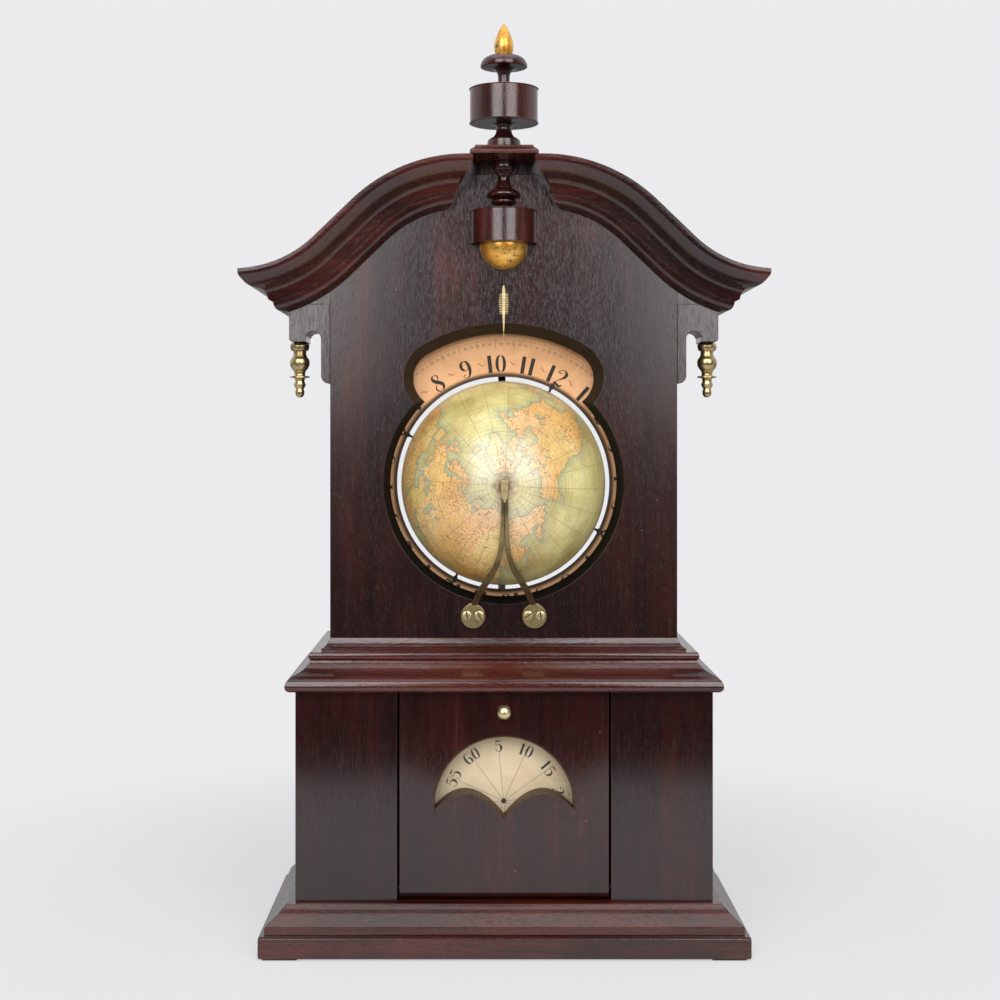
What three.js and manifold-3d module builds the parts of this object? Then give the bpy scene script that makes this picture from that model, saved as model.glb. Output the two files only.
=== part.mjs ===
// Globe clock: a dark wood case with a turning globe above and a minute disc below.
// Lengths are millimetres, +Z is up and the front faces -Y.
// The origin lies on the floor, midway between the front of the fork and the back of the case.

import * as THREE from 'three';
import Module from 'manifold-3d';
import { mergeVertices } from 'three/addons/utils/BufferGeometryUtils.js';

const wasm = await Module();
wasm.setup();

// Clearances and construction values
const glueLine = 0.1;
const seatGap = 0.3;
const runningGap = 0.3;
const overrun = 5;
const weldDistance = 0.0005;
const turnedSides = 18;
const smallTurnedSides = 12;
const boreSides = 12;
const curveSteps = 10;
const windowSteps = 12;
const earSteps = 8;
const ballSteps = 8;
const sideStations = 4;

// Slab, pads and base moulding
const slabSideMargin = 4.25;
const slabFrontMargin = 4.3;
const slabThickness = 16.1;
const slabEdgeRound = 1.2;
const padSize = 25;
const padInset = 3;
const padHeight = 1.5;
const baseMouldingHeight = 18.9;
const baseMouldingReach = 20.2;

// Lower case
const lowerCaseStepOut = 23.45;
const frontBoardThickness = 15;
const sideBoardThickness = 12;
const backBoardThickness = 5;
const deckThickness = 14;

// Door, its window, knob and pivots
const doorWidth = 153.8;
const doorSideGap = 1.7;
const doorTopGap = 1;
const doorFootGap = 0.8;
const doorPinRadius = 2;
const doorPinLength = 20;
const doorPinInDoor = 11;
const windowRadius = 51.1;
const windowTipDrop = 2;
const scallopCrestX = 26.5;
const scallopCrestRise = 10.7;
const scallopCuspDrop = 8;
const windowBevel = 1.2;
const glassThickness = 2;
const glassOverlap = 6.9;
const glassBottomDrop = 16;
const knobAboveWindow = 18.3;
const knobBelowCaseTop = 15.5;
const knobRadius = 5.25;
const knobReach = 9.5;

// Waist moulding, in two tiers
const waistLowerHeight = 21.2;
const waistUpperHeight = 15.3;
const waistReach = 30.6;
const waistUpperReach = 14.7;

// Upper case
const ringSideClearance = 2.2;
const panelSetback = 23.5;
const panelThickness = 18;
const roofThickness = 10;
const railHeight = 20;
const railThickness = 5.2;
const upperRailRise = 119;

// Round opening and arched window of the panel
const openingClearance = 12.2;
const openingBevel = 4.2;
const archAboveRing = 4.3;
const archEndRadius = 28;
const archEndX = 47;
const archEndSweep = THREE.MathUtils.degToRad(60);
const archBevel = 6.5;

// Serpentine head and cornice
const headOverhang = 30.9;
const humpApexX = 28.2;
const humpRadius = 120.4;
const slopeAngle = THREE.MathUtils.degToRad(43.9);
const slopeLength = 38.4;
const tailRadius = 84.3;
const tailEndAngle = THREE.MathUtils.degToRad(2);
const corniceBand = 35.2;
const corniceReach = 33.6;
const corniceInnerX = 22.9;
const corniceInnerReturn = 19.5;
const corniceStations = 11;
const mitreGap = 0.12;
const tailThickness = 23.2;

// Ears and brass drops
const earDepth = 32;
const earHeight = 28.6;
const earStripWidth = 6.8;
const earNotchWidth = 11.3;
const earNotchDrop = 20.6;
const earStripHeight = 59.8;
const earStripRound = 6;
const earCornerRound = 3;
const dropRadius = 7.6;
const dropLength = 41.2;

// Cap, finial and pendant
const capWidth = 50.4;
const capTopWidth = 42.8;
const capHeight = 6.6;
const capForward = 35.5;
const finialRadius = 25.3;
const finialHeight = 69.9;
const flameRadius = 7.4;
const flameHeight = 24.1;
const pendantRadius = 24.1;
const pendantHeight = 62.4;
const pendantAbovePointer = 11.4;
const gildedBallRadius = 18.3;
const gildedBallDrop = 19.4;

// Globe, hour ring and their arbor
const globeRadius = 78;
const globeWall = 2.6;
const globeSides = 28;
const globeBands = 14;
const globeInRing = 3.3;
const ringWidth = 34.7;
const ringAboveDeck = 22.1;
const ringThickness = 2.5;
const ringSides = 40;
const ringBehindPanel = 6;
const studWidth = 3;
const studCount = 4;
const studStartAngle = THREE.MathUtils.degToRad(26.8);
const globeArborRadius = 3;
const pivotRadius = 1.2;
const rearJournalRadius = 1.5;

// Fork that carries the front pole
const poleGap = 1;
const forkHeadThickness = 4;
const forkHeadRadius = 3.2;
const forkFootX = 23;
const forkFootBelowOpening = 8.9;
const forkFootRadius = 9.25;
const forkFootThickness = 2.6;
const forkArmWidth = 2.3;
const forkCrotchDrop = 49.7;
const forkStations = 14;
const forkBend = 4;

// Hour pointer
const pointerAboveArch = 28.4;
const pointerLength = 36.3;
const pointerWidth = 2.5;
const pointerThickness = 1.3;
const featherHalfWidth = 4;
const featherCount = 10;
const featherTopDrop = 6.2;
const featherPitch = 1.55;

// Rear strap with its cock
const strapWidth = 6;
const strapThickness = 2.5;
const strapBossRadius = 5.5;
const strapBossThickness = 3;
const cockHeight = 6;
const cockWidth = 11;
const cockBelowWheel = 3.5;

// Drive from the minute arbor to the globe
const pinionLeaves = 8;
const lowerCrownTeeth = 24;
const lowerModule = 1.15;
const upperCrownTeeth = 64;
const upperModule = 1.5;
const upperCrownWidth = 6;
const lowerCrownWidth = 3.6;
const crownPlate = 2.5;
const pinionLength = 7.5;
const shaftRadius = 2.5;
const shaftBehindGlobe = 1.6;
const crownRootExtra = 1;
const footPostRadius = 6;
const footPostHeight = 62;
const footSocketDepth = 6;
const minuteArborRadius = 2;
const minuteDiscBeyondWindow = 4.9;
const minuteDiscThickness = 1.2;
const minuteDiscBehindGlass = 2.4;
const minuteHubRadius = 6;

// Movement plates on their seat board
const plateWidth = 144;
const plateHeight = 136;
const plateThickness = 2;
const plateSpacing = 38;
const plateBehindDisc = 18;
const pillarRadius = 3.5;
const pillarInset = 6;
const seatBoardWidth = 160;
const seatBoardThickness = 14;
const seatBoardMargin = 8;

// Going train between the plates: spring barrel, intermediate, centre and third arbors
const greatTeeth = 48;
const greatModule = 1.2;
const intermediateLeaves = 6;
const intermediateTeeth = 56;
const intermediateModule = 0.95;
const centreLeaves = 8;
const centreTeeth = 48;
const centreModule = 0.9;
const thirdLeaves = 8;
const wheelThickness = 2;
const trainArborRadius = 1.6;
const trainPivotRadius = 1;
const intermediateAngle = THREE.MathUtils.degToRad(250);
const barrelAngle = THREE.MathUtils.degToRad(205);
const thirdAngle = THREE.MathUtils.degToRad(40);
const intermediateWheelSetback = 3;
const centrePinionLength = 5;
const centreWheelSetback = 9;
const thirdPinionLength = 6;
const greatWheelSetback = 22;
const intermediatePinionLength = 7;
const barrelRadius = 26;
const barrelLength = 11.5;
const barrelArborRadius = 3;
const greatWheelAboveSeat = 2.2805;
const barrelPivotRadius = 2.2;
const windingSquare = 3.6;
const windingReach = 9;
const escapementRadius = 24;
const escapementLength = 22;
const escapementOffset = 12;
const escapementBoreDepth = 6;

// Tooth proportions, as shares of the module or of the pitch
const wheelToothShare = 0.42;
const leafShare = 0.32;
const leafRootShare = 1.15;
const toothTipShare = 0.45;
const spokeShare = 0.9;
const spokeIntoRimShare = 0.25;
const hubShare = 3;
const addendumShare = 0.8;
const dedendumShare = 1.1;
const wheelRootShare = 1.7;
const rimShare = 1.8;
const hubOfArborShare = 2.2;
const crossings = 4;
const crossingShares = [0.14, 0.38, 0.62, 0.86];

// Turned and moulded outlines, as shares of each piece's own reach and height
const baseMouldingShares = [
  [0, 0], [1, 0], [1, 0.275], [0.945, 0.335], [0.77, 0.49],
  [0.58, 0.665], [0.42, 0.845], [0.3, 0.95], [0.3, 1], [0, 1],
];
const waistLowerShares = [
  [0, 0], [0.915, 0], [0.985, 0.08], [1, 0.21], [0.96, 0.38], [0.866, 0.5],
  [0.745, 0.59], [0.64, 0.67], [0.572, 0.735], [0.497, 0.84], [0.435, 0.93], [0.42, 1], [0, 1],
];
const waistUpperShares = [
  [0, 0], [0.88, 0], [0.97, 0.1], [1, 0.22], [0.98, 0.32], [0.925, 0.405],
  [0.41, 0.405], [0.41, 0.52], [0.245, 0.6], [0.12, 0.76], [0, 1],
];
const corniceShares = [
  [0, 0], [0.116, 0.045], [0.217, 0.087], [0.268, 0.135], [0.304, 0.216], [0.315, 0.279],
  [0.408, 0.333], [0.432, 0.429], [0.458, 0.498], [0.528, 0.561], [0.61, 0.594],
  [0.714, 0.627], [0.827, 0.688], [0.914, 0.778], [0.988, 0.88], [1, 1],
];
const finialShares = [
  [0, 0], [0.486, 0], [0.498, 0.04], [0.478, 0.094], [0.42, 0.112], [0.316, 0.133],
  [0.245, 0.17], [0.221, 0.212], [0.233, 0.242], [0.324, 0.27], [0.968, 0.274], [1, 0.286],
  [1, 0.63], [0.972, 0.643], [0.257, 0.645], [0.182, 0.67], [0.174, 0.72], [0.178, 0.777],
  [0.221, 0.827], [0.336, 0.861], [0.652, 0.871], [0.692, 0.883], [0.688, 0.908],
  [0.617, 0.954], [0.494, 0.983], [0.356, 0.997], [0, 1],
];
const flameShares = [
  [0, 0], [0.8, 0], [0.92, 0.12], [1, 0.24], [0.95, 0.36], [0.87, 0.48],
  [0.7, 0.62], [0.53, 0.75], [0.28, 0.88], [0, 1],
];
const pendantShares = [
  [0, 0], [0.975, 0], [1, 0.013], [1, 0.387], [0.98, 0.4], [0.257, 0.402], [0.257, 0.449],
  [0.29, 0.466], [0.39, 0.489], [0.411, 0.508], [0.398, 0.521], [0.315, 0.54], [0.394, 0.546],
  [0.523, 0.569], [0.548, 0.591], [0.523, 0.614], [0.394, 0.652], [0.257, 0.678],
  [0.274, 0.691], [0.245, 0.712], [0.2, 0.753], [0.191, 0.795], [0.216, 0.838],
  [0.303, 0.881], [0.344, 0.921], [0.349, 1], [0, 1],
];
const dropShares = [
  [0, 0], [0.25, 0.01], [0.42, 0.05], [0.47, 0.11], [0.38, 0.16], [0.52, 0.2], [0.6, 0.24],
  [0.46, 0.3], [0.55, 0.35], [0.98, 0.365], [0.98, 0.39], [0.6, 0.4], [0.54, 0.43],
  [0.58, 0.48], [0.8, 0.53], [0.97, 0.59], [1, 0.65], [0.93, 0.7], [0.74, 0.75], [0.64, 0.8],
  [0.66, 0.85], [0.86, 0.87], [0.97, 0.93], [0.97, 0.96], [0.78, 1], [0, 1],
];
const knobSpigotShare = 0.48;
const knobSpigotLengthShare = 0.4;
const knobShares = [
  [0, 0], [knobSpigotShare, 0], [knobSpigotShare, knobSpigotLengthShare], [0.62, 0.44],
  [0.95, 0.5], [1, 0.62], [0.9, 0.78], [0.6, 0.93], [0.25, 1], [0, 1],
];

const capShares = [[0, 0], [0, 0.27], [0.5, 0.51], [1, 0.82], [1, 1]];
const escapementShares = [[0, 0], [0.9, 0], [1, 0.06], [1, 1], [0, 1]];
const pointerShares = { top: 0.6, shoulder: 0.72, tip: 0.45 };

// A place in X and Z at a distance and an angle from another
function axisFrom(start, distance, angle) {
  return new THREE.Vector2(start.x + distance * Math.cos(angle), start.y + distance * Math.sin(angle));
}

// Radii that follow from the sizes above
const openingRadius = globeRadius + openingClearance;
const ringInnerRadius = globeRadius + globeInRing;
const ringOuterRadius = ringInnerRadius + ringWidth;
const archRadius = ringOuterRadius + archAboveRing;
const minuteDiscRadius = windowRadius + minuteDiscBeyondWindow;
const upperCrownRadius = upperCrownTeeth * upperModule / 2;
const upperPinionRadius = pinionLeaves * upperModule / 2;
const upperPinionTip = upperPinionRadius + upperModule * addendumShare;
const lowerCrownRadius = lowerCrownTeeth * lowerModule / 2;
const lowerPinionRadius = pinionLeaves * lowerModule / 2;
const greatWheelTip = greatTeeth * greatModule / 2 + greatModule * addendumShare;

// Widths, from the hour ring outwards and down to the slab
const upperCaseWidth = 2 * (ringOuterRadius + ringSideClearance + sideBoardThickness);
const headWidth = upperCaseWidth + 2 * headOverhang;
const lowerCaseWidth = upperCaseWidth + 2 * lowerCaseStepOut;
const slabWidth = lowerCaseWidth + 2 * (baseMouldingReach + slabSideMargin);
const lowerHalf = lowerCaseWidth / 2;
const upperHalf = upperCaseWidth / 2;
const headHalf = headWidth / 2;
const doorHalf = doorWidth / 2;

// Heights, from the floor up
const slabBottom = padHeight;
const slabTop = slabBottom + slabThickness;
const lowerCaseBottom = slabTop + baseMouldingHeight;
const seatBoardTop = slabTop + glueLine + seatBoardThickness;
const intermediateReach = (intermediateTeeth + centreLeaves) * intermediateModule / 2;
const barrelReach = (greatTeeth + intermediateLeaves) * greatModule / 2;
const intermediateOffset = axisFrom(new THREE.Vector2(), intermediateReach, intermediateAngle);
const barrelOffset = axisFrom(intermediateOffset, barrelReach, barrelAngle);
const minuteHeight = seatBoardTop + greatWheelAboveSeat + greatWheelTip - barrelOffset.y;
const knobHeight = minuteHeight + windowRadius + knobAboveWindow;
const lowerCaseTop = knobHeight + knobBelowCaseTop;
const waistJoint = lowerCaseTop + waistLowerHeight;
const waistTop = waistJoint + waistUpperHeight;
const deckTop = lowerCaseTop + deckThickness;
const globeHeight = deckTop + ringAboveDeck + ringOuterRadius;
const pointerTopHeight = globeHeight + archRadius + pointerAboveArch;
const humpTopHeight = pointerTopHeight + pendantAbovePointer + gildedBallDrop + glueLine + pendantHeight;
const humpDrop = humpRadius * (1 - Math.cos(slopeAngle));
const slopeDrop = slopeLength * Math.sin(slopeAngle);
const tailDrop = tailRadius * (Math.cos(tailEndAngle) - Math.cos(slopeAngle));
const tailBottomHeight = humpTopHeight - humpDrop - slopeDrop - tailDrop - tailThickness;
const earBottomHeight = tailBottomHeight - earHeight;
const earNotchTopHeight = tailBottomHeight - earNotchDrop;
const earStripBottomHeight = tailBottomHeight - earStripHeight;
const capBottom = humpTopHeight + glueLine;
const capTop = capBottom + capHeight;
const lowerPitchHeight = minuteHeight + lowerPinionRadius;
const shaftBottom = slabTop + glueLine + footPostHeight - footSocketDepth;
const shaftTop = globeHeight - upperCrownRadius + pinionLength / 2 + seatGap;
const doorPinHeight = lowerCaseBottom + doorFootGap + frontBoardThickness / 2;

// Depths, from the slab's front edge to the back of the case
const caseSetback = baseMouldingReach + slabFrontMargin;
const globeSetback = caseSetback + panelSetback + panelThickness + ringBehindPanel + ringThickness / 2;
const forkReach = globeRadius - globeSetback + poleGap + forkHeadThickness;
const globeBackAtCrown = Math.sqrt(globeRadius ** 2 - (upperCrownRadius - upperCrownWidth / 2) ** 2);
const shaftSetback = globeSetback + globeBackAtCrown + upperPinionTip + shaftBehindGlobe;
const pitchSetback = shaftSetback + upperPinionRadius;
const wheelSetback = pitchSetback + upperModule * dedendumShare + crownRootExtra;
const strapSetback = wheelSetback + crownPlate + seatGap + strapBossThickness;
const railSetback = strapSetback + strapThickness + glueLine;
const slabDepth = railSetback + railThickness;
const slabFrontY = (forkReach - slabDepth) / 2;
const backY = slabFrontY + slabDepth;
const caseFrontY = slabFrontY + caseSetback;
const doorBackY = caseFrontY + frontBoardThickness;
const doorPinY = caseFrontY + frontBoardThickness / 2;
const panelFrontY = caseFrontY + panelSetback;
const panelBackY = panelFrontY + panelThickness;
const globeY = slabFrontY + globeSetback;
const shaftY = slabFrontY + shaftSetback;
const upperPitchY = slabFrontY + pitchSetback;
const upperPlateY = slabFrontY + wheelSetback;
const strapFrontY = slabFrontY + strapSetback;
const railFrontY = slabFrontY + railSetback;
const capCentreY = panelFrontY - capForward + capWidth / 2;
const glassFrontY = doorBackY + glueLine;
const discFrontY = glassFrontY + glassThickness + minuteDiscBehindGlass;
const discBackY = discFrontY + minuteDiscThickness;
const frontPlateY = discBackY + plateBehindDisc;
const trainFrontY = frontPlateY + plateThickness;
const backPlateY = trainFrontY + plateSpacing;
const intermediateWheelY = trainFrontY + intermediateWheelSetback;
const centreWheelY = trainFrontY + centreWheelSetback;
const greatWheelY = trainFrontY + greatWheelSetback;

// Axes of the going train, in X and Z
const minuteAxis = new THREE.Vector2(0, minuteHeight);
const intermediateAxis = minuteAxis.clone().add(intermediateOffset);
const barrelAxis = minuteAxis.clone().add(barrelOffset);
const thirdAxis = axisFrom(minuteAxis, (centreTeeth + thirdLeaves) * centreModule / 2, thirdAngle);
const escapementAxis = axisFrom(thirdAxis, escapementOffset, thirdAngle);

// Materials
function finish(color, roughness, metalness) {
  return new THREE.MeshStandardMaterial({ color, roughness, metalness });
}

const darkWood = finish(0x3a1714, 0.38, 0);
const innerWood = finish(0x6b4a30, 0.7, 0);
const brass = finish(0xb8924a, 0.28, 1);
const gilding = finish(0xd9982a, 0.35, 0.8);
const steel = finish(0x3c3b3a, 0.4, 1);
const globePaper = finish(0xb9a662, 0.45, 0);
const dialPaper = finish(0xc79a66, 0.65, 0);
const minutePaper = finish(0xe6d6b4, 0.65, 0);
const paneGlass = finish(0xd8e0dc, 0.05, 0);

const clock = new THREE.Group();

function add(name, geometry, material) {
  const mesh = new THREE.Mesh(geometry, material);
  mesh.name = name;
  clock.add(mesh);
  return mesh;
}

// Solids from geometries and back, for cutting and joining
function solidOf(geometry) {
  const bare = geometry.clone();
  bare.deleteAttribute('normal');
  bare.deleteAttribute('uv');
  const welded = mergeVertices(bare, weldDistance);
  const vertProperties = new Float32Array(welded.attributes.position.array);
  const triVerts = new Uint32Array(welded.index.array);
  return new wasm.Manifold(new wasm.Mesh({ numProp: 3, vertProperties, triVerts }));
}

function geometryOf(solid) {
  const mesh = solid.getMesh();
  const geometry = new THREE.BufferGeometry();
  geometry.setAttribute('position', new THREE.BufferAttribute(new Float32Array(mesh.vertProperties), 3));
  geometry.setIndex(new THREE.BufferAttribute(new Uint32Array(mesh.triVerts), 1));
  geometry.computeVertexNormals();
  return geometry;
}

function cut(geometry, ...cutters) {
  const solid = cutters.reduce((rest, cutter) => rest.subtract(solidOf(cutter)), solidOf(geometry));
  return geometryOf(solid);
}

function join(geometry, ...others) {
  const solid = others.reduce((sum, other) => sum.add(solidOf(other)), solidOf(geometry));
  return geometryOf(solid);
}

function mirrored(geometry) {
  const copy = geometry.clone();
  copy.scale(-1, 1, 1);
  const index = copy.index.array;
  for (let i = 0; i < index.length; i += 3) {
    [index[i], index[i + 1]] = [index[i + 1], index[i]];
  }
  copy.computeVertexNormals();
  return copy;
}

// A closed body through rings of points; capFaces close its two ends, or the rings close on themselves
function loft(rings, capFaces) {
  const count = rings[0].length;
  const positions = rings.flat().flatMap((point) => [point.x, point.y, point.z]);
  const index = [];
  const spans = capFaces ? rings.length - 1 : rings.length;
  for (let i = 0; i < spans; i += 1) {
    const here = i * count;
    const there = ((i + 1) % rings.length) * count;
    for (let j = 0; j < count; j += 1) {
      const next = (j + 1) % count;
      index.push(here + j, here + next, there + next, here + j, there + next, there + j);
    }
  }
  if (capFaces) {
    const last = (rings.length - 1) * count;
    capFaces.forEach(([a, b, c]) => {
      index.push(a, c, b);
      index.push(last + a, last + b, last + c);
    });
  }
  const geometry = new THREE.BufferGeometry();
  geometry.setAttribute('position', new THREE.Float32BufferAttribute(positions, 3));
  geometry.setIndex(index);
  return facingOut(withoutSlivers(geometry));
}

function withoutSlivers(geometry) {
  const welded = mergeVertices(geometry, weldDistance);
  const index = welded.index.array;
  const kept = [];
  for (let i = 0; i < index.length; i += 3) {
    const [a, b, c] = [index[i], index[i + 1], index[i + 2]];
    if (a !== b && b !== c && c !== a) {
      kept.push(a, b, c);
    }
  }
  welded.setIndex(kept);
  return welded;
}

function facingOut(geometry) {
  const place = geometry.attributes.position;
  const index = geometry.index.array;
  const [a, b, c] = [new THREE.Vector3(), new THREE.Vector3(), new THREE.Vector3()];
  let volume = 0;
  for (let i = 0; i < index.length; i += 3) {
    a.fromBufferAttribute(place, index[i]);
    b.fromBufferAttribute(place, index[i + 1]);
    c.fromBufferAttribute(place, index[i + 2]);
    volume += a.dot(b.cross(c));
  }
  if (volume < 0) {
    for (let i = 0; i < index.length; i += 3) {
      [index[i], index[i + 1]] = [index[i + 1], index[i]];
    }
  }
  geometry.computeVertexNormals();
  return geometry;
}

function capOf(outline) {
  return THREE.ShapeUtils.triangulateShape(outline.map(([a, b]) => new THREE.Vector2(a, b)), []);
}

// Simple bodies
function box(x0, x1, y0, y1, z0, z1) {
  const geometry = new THREE.BoxGeometry(x1 - x0, y1 - y0, z1 - z0);
  geometry.translate((x0 + x1) / 2, (y0 + y1) / 2, (z0 + z1) / 2);
  return geometry;
}

// A shape drawn in X and Z, extruded from y0 back to y1
function board(shape, y0, y1, curveSegments = curveSteps) {
  const geometry = new THREE.ExtrudeGeometry(shape, { depth: y1 - y0, bevelEnabled: false, curveSegments });
  geometry.rotateX(Math.PI / 2);
  geometry.translate(0, y1, 0);
  geometry.deleteAttribute('uv');
  geometry.deleteAttribute('normal');
  return facingOut(withoutSlivers(geometry));
}

function shapeOf(points) {
  return new THREE.Shape(points.map(([x, z]) => new THREE.Vector2(x, z)));
}

function turned(shares, radius, height, sides = turnedSides) {
  const points = shares.map(([r, z]) => new THREE.Vector2(r * radius, z * height));
  const geometry = new THREE.LatheGeometry(points, sides);
  geometry.rotateX(Math.PI / 2);
  geometry.deleteAttribute('uv');
  geometry.deleteAttribute('normal');
  return facingOut(withoutSlivers(geometry));
}

// A rod along X, Y or Z between two places on its axis
function rodX(radius, x0, x1, y, z, sides = boreSides) {
  const geometry = new THREE.CylinderGeometry(radius, radius, x1 - x0, sides);
  geometry.rotateZ(Math.PI / 2);
  geometry.translate((x0 + x1) / 2, y, z);
  return geometry;
}

function rodY(radius, x, y0, y1, z, sides = boreSides) {
  const geometry = new THREE.CylinderGeometry(radius, radius, y1 - y0, sides);
  geometry.translate(x, (y0 + y1) / 2, z);
  return geometry;
}

function rodZ(radius, x, y, z0, z1, sides = boreSides) {
  const geometry = new THREE.CylinderGeometry(radius, radius, z1 - z0, sides);
  geometry.rotateX(Math.PI / 2);
  geometry.translate(x, y, (z0 + z1) / 2);
  return geometry;
}

// Mouldings: a section of reach and height, mitred round the front corners
function section(shares, reach, height, bottom) {
  return shares.map(([r, h]) => [r * reach, bottom + h * height]);
}

function frontMoulding(outline, half, frontY) {
  const ring = (side) => outline.map(([r, z]) => (
    new THREE.Vector3(side * (half + r - mitreGap), frontY - r, z)
  ));
  return loft([ring(-1), ring(1)], capOf(outline));
}

function sideMoulding(outline, half, frontY) {
  const front = outline.map(([r, z]) => new THREE.Vector3(half + r, frontY - r + mitreGap, z));
  const back = outline.map(([r, z]) => new THREE.Vector3(half + r, backY, z));
  return loft([front, back], capOf(outline));
}

function inward(outline, depth) {
  const top = outline[outline.length - 1];
  const bottom = outline[0];
  return [[-depth, bottom[1]], ...outline.slice(1, -1), [-depth, top[1]]];
}

function addMouldings(name, outline, half, frontY) {
  add(`${name}_front`, frontMoulding(outline, half, frontY), darkWood);
  const right = sideMoulding(outline, half, frontY);
  add(`${name}_right`, right, darkWood);
  add(`${name}_left`, mirrored(right), darkWood);
}

// The serpentine line of the head, from the middle outwards, with its outward normals
function serpentine() {
  const points = [{ x: 0, z: humpTopHeight, nx: 0, nz: 1 }];
  const humpZ = humpTopHeight - humpRadius;
  const push = (x, z, angle) => points.push({ x, z, nx: Math.sin(angle), nz: Math.cos(angle) });
  for (let i = 0; i <= corniceStations; i += 1) {
    const angle = slopeAngle * i / corniceStations;
    push(humpApexX + humpRadius * Math.sin(angle), humpZ + humpRadius * Math.cos(angle), angle);
  }
  const knee = points[points.length - 1];
  const toeX = knee.x + slopeLength * Math.cos(slopeAngle);
  const toeZ = knee.z - slopeLength * Math.sin(slopeAngle);
  const tailX = toeX + tailRadius * Math.sin(slopeAngle);
  const tailZ = toeZ + tailRadius * Math.cos(slopeAngle);
  for (let i = 0; i <= corniceStations; i += 1) {
    const angle = slopeAngle + (tailEndAngle - slopeAngle) * i / corniceStations;
    push(tailX - tailRadius * Math.sin(angle), tailZ - tailRadius * Math.cos(angle), angle);
  }
  push(tailX + tailRadius, tailZ - tailRadius * Math.cos(tailEndAngle), 0);
  return points;
}

// The same line set in by a depth, as points from one X to another
function headLine(depth, x0, x1, count) {
  const line = serpentine().map(({ x, z, nx, nz }) => [x - nx * depth, z - nz * depth]);
  const heightAt = (x) => {
    for (let i = 1; i < line.length; i += 1) {
      if (line[i][0] >= x && line[i][0] > line[i - 1][0]) {
        const share = (x - line[i - 1][0]) / (line[i][0] - line[i - 1][0]);
        return line[i - 1][1] + share * (line[i][1] - line[i - 1][1]);
      }
    }
    return line[line.length - 1][1];
  };
  const points = [];
  for (let i = 0; i < count; i += 1) {
    const x = x0 + (x1 - x0) * i / (count - 1);
    points.push([x, heightAt(x)]);
  }
  return points;
}

// Base
function addBase() {
  const half = slabWidth / 2;
  const edge = slabEdgeRound;
  const ring = (inset, z) => [
    new THREE.Vector3(inset - half, slabFrontY + inset, z),
    new THREE.Vector3(half - inset, slabFrontY + inset, z),
    new THREE.Vector3(half - inset, backY, z),
    new THREE.Vector3(inset - half, backY, z),
  ];
  const rings = [
    ring(edge / 2, slabBottom), ring(0, slabBottom + edge), ring(0, slabTop - edge), ring(edge, slabTop),
  ];
  add('slab', loft(rings, [[0, 1, 2], [0, 2, 3]]), darkWood);
  for (const [row, y0] of [['front', slabFrontY + padInset], ['rear', backY - padInset - padSize]]) {
    for (const [side, x0] of [['left', padInset - half], ['right', half - padInset - padSize]]) {
      const pad = box(x0, x0 + padSize, y0, y0 + padSize, 0, padHeight - glueLine);
      add(`pad_${row}_${side}`, pad, steel);
    }
  }
  const height = baseMouldingHeight - glueLine;
  const outline = section(baseMouldingShares, baseMouldingReach, height, slabTop + glueLine);
  addMouldings('base_moulding', inward(outline, frontBoardThickness), lowerHalf, caseFrontY);
}

// Lower case: stiles, sides, back and deck round the movement
function addLowerCase() {
  const bottom = lowerCaseBottom + glueLine;
  const top = lowerCaseTop - glueLine;
  const inner = doorHalf + doorSideGap;
  const holeEnd = inner + doorPinLength - doorPinInDoor + seatGap;
  const hole = rodX(doorPinRadius + glueLine, inner - overrun, holeEnd, doorPinY, doorPinHeight);
  const stile = cut(box(inner, lowerHalf, caseFrontY, doorBackY, bottom, top), hole);
  add('stile_right', stile, darkWood);
  add('stile_left', mirrored(stile), darkWood);
  const side = box(lowerHalf - sideBoardThickness, lowerHalf, doorBackY + glueLine, backY, bottom, top);
  add('lower_side_right', side, darkWood);
  add('lower_side_left', mirrored(side), darkWood);
  const backHalf = lowerHalf - sideBoardThickness - glueLine;
  add('lower_back', box(-backHalf, backHalf, backY - backBoardThickness, backY, bottom, top), innerWood);
  const footHalf = lowerHalf - frontBoardThickness - glueLine;
  const footTop = lowerCaseBottom;
  const foot = box(-footHalf, footHalf, backY - backBoardThickness, backY, slabTop + glueLine, footTop);
  add('base_back_rail', foot, innerWood);
  const deckHalf = upperHalf - glueLine;
  const deck = box(-deckHalf, deckHalf, panelFrontY + glueLine, backY, lowerCaseTop, deckTop);
  const shaftHole = rodZ(shaftRadius + overrun, 0, shaftY, lowerCaseTop - overrun, deckTop + overrun);
  add('deck', cut(deck, shaftHole), innerWood);
}

// The bat-wing window: a round top over two scallops that meet in a cusp
function windowOutline(grow) {
  const shape = new THREE.Shape();
  const tipX = windowRadius + grow;
  const tipZ = minuteHeight - windowTipDrop - grow;
  const cuspZ = minuteHeight - scallopCuspDrop - grow;
  const crestZ = minuteHeight + scallopCrestRise - grow;
  const controlX = 2 * scallopCrestX - tipX / 2;
  const controlZ = 2 * crestZ - (tipZ + cuspZ) / 2;
  shape.moveTo(0, cuspZ);
  shape.quadraticCurveTo(controlX, controlZ, tipX, tipZ);
  shape.absarc(0, minuteHeight, windowRadius + grow, 0, Math.PI, false);
  shape.lineTo(-tipX, tipZ);
  shape.quadraticCurveTo(-controlX, controlZ, 0, cuspZ);
  return shape;
}

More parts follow.
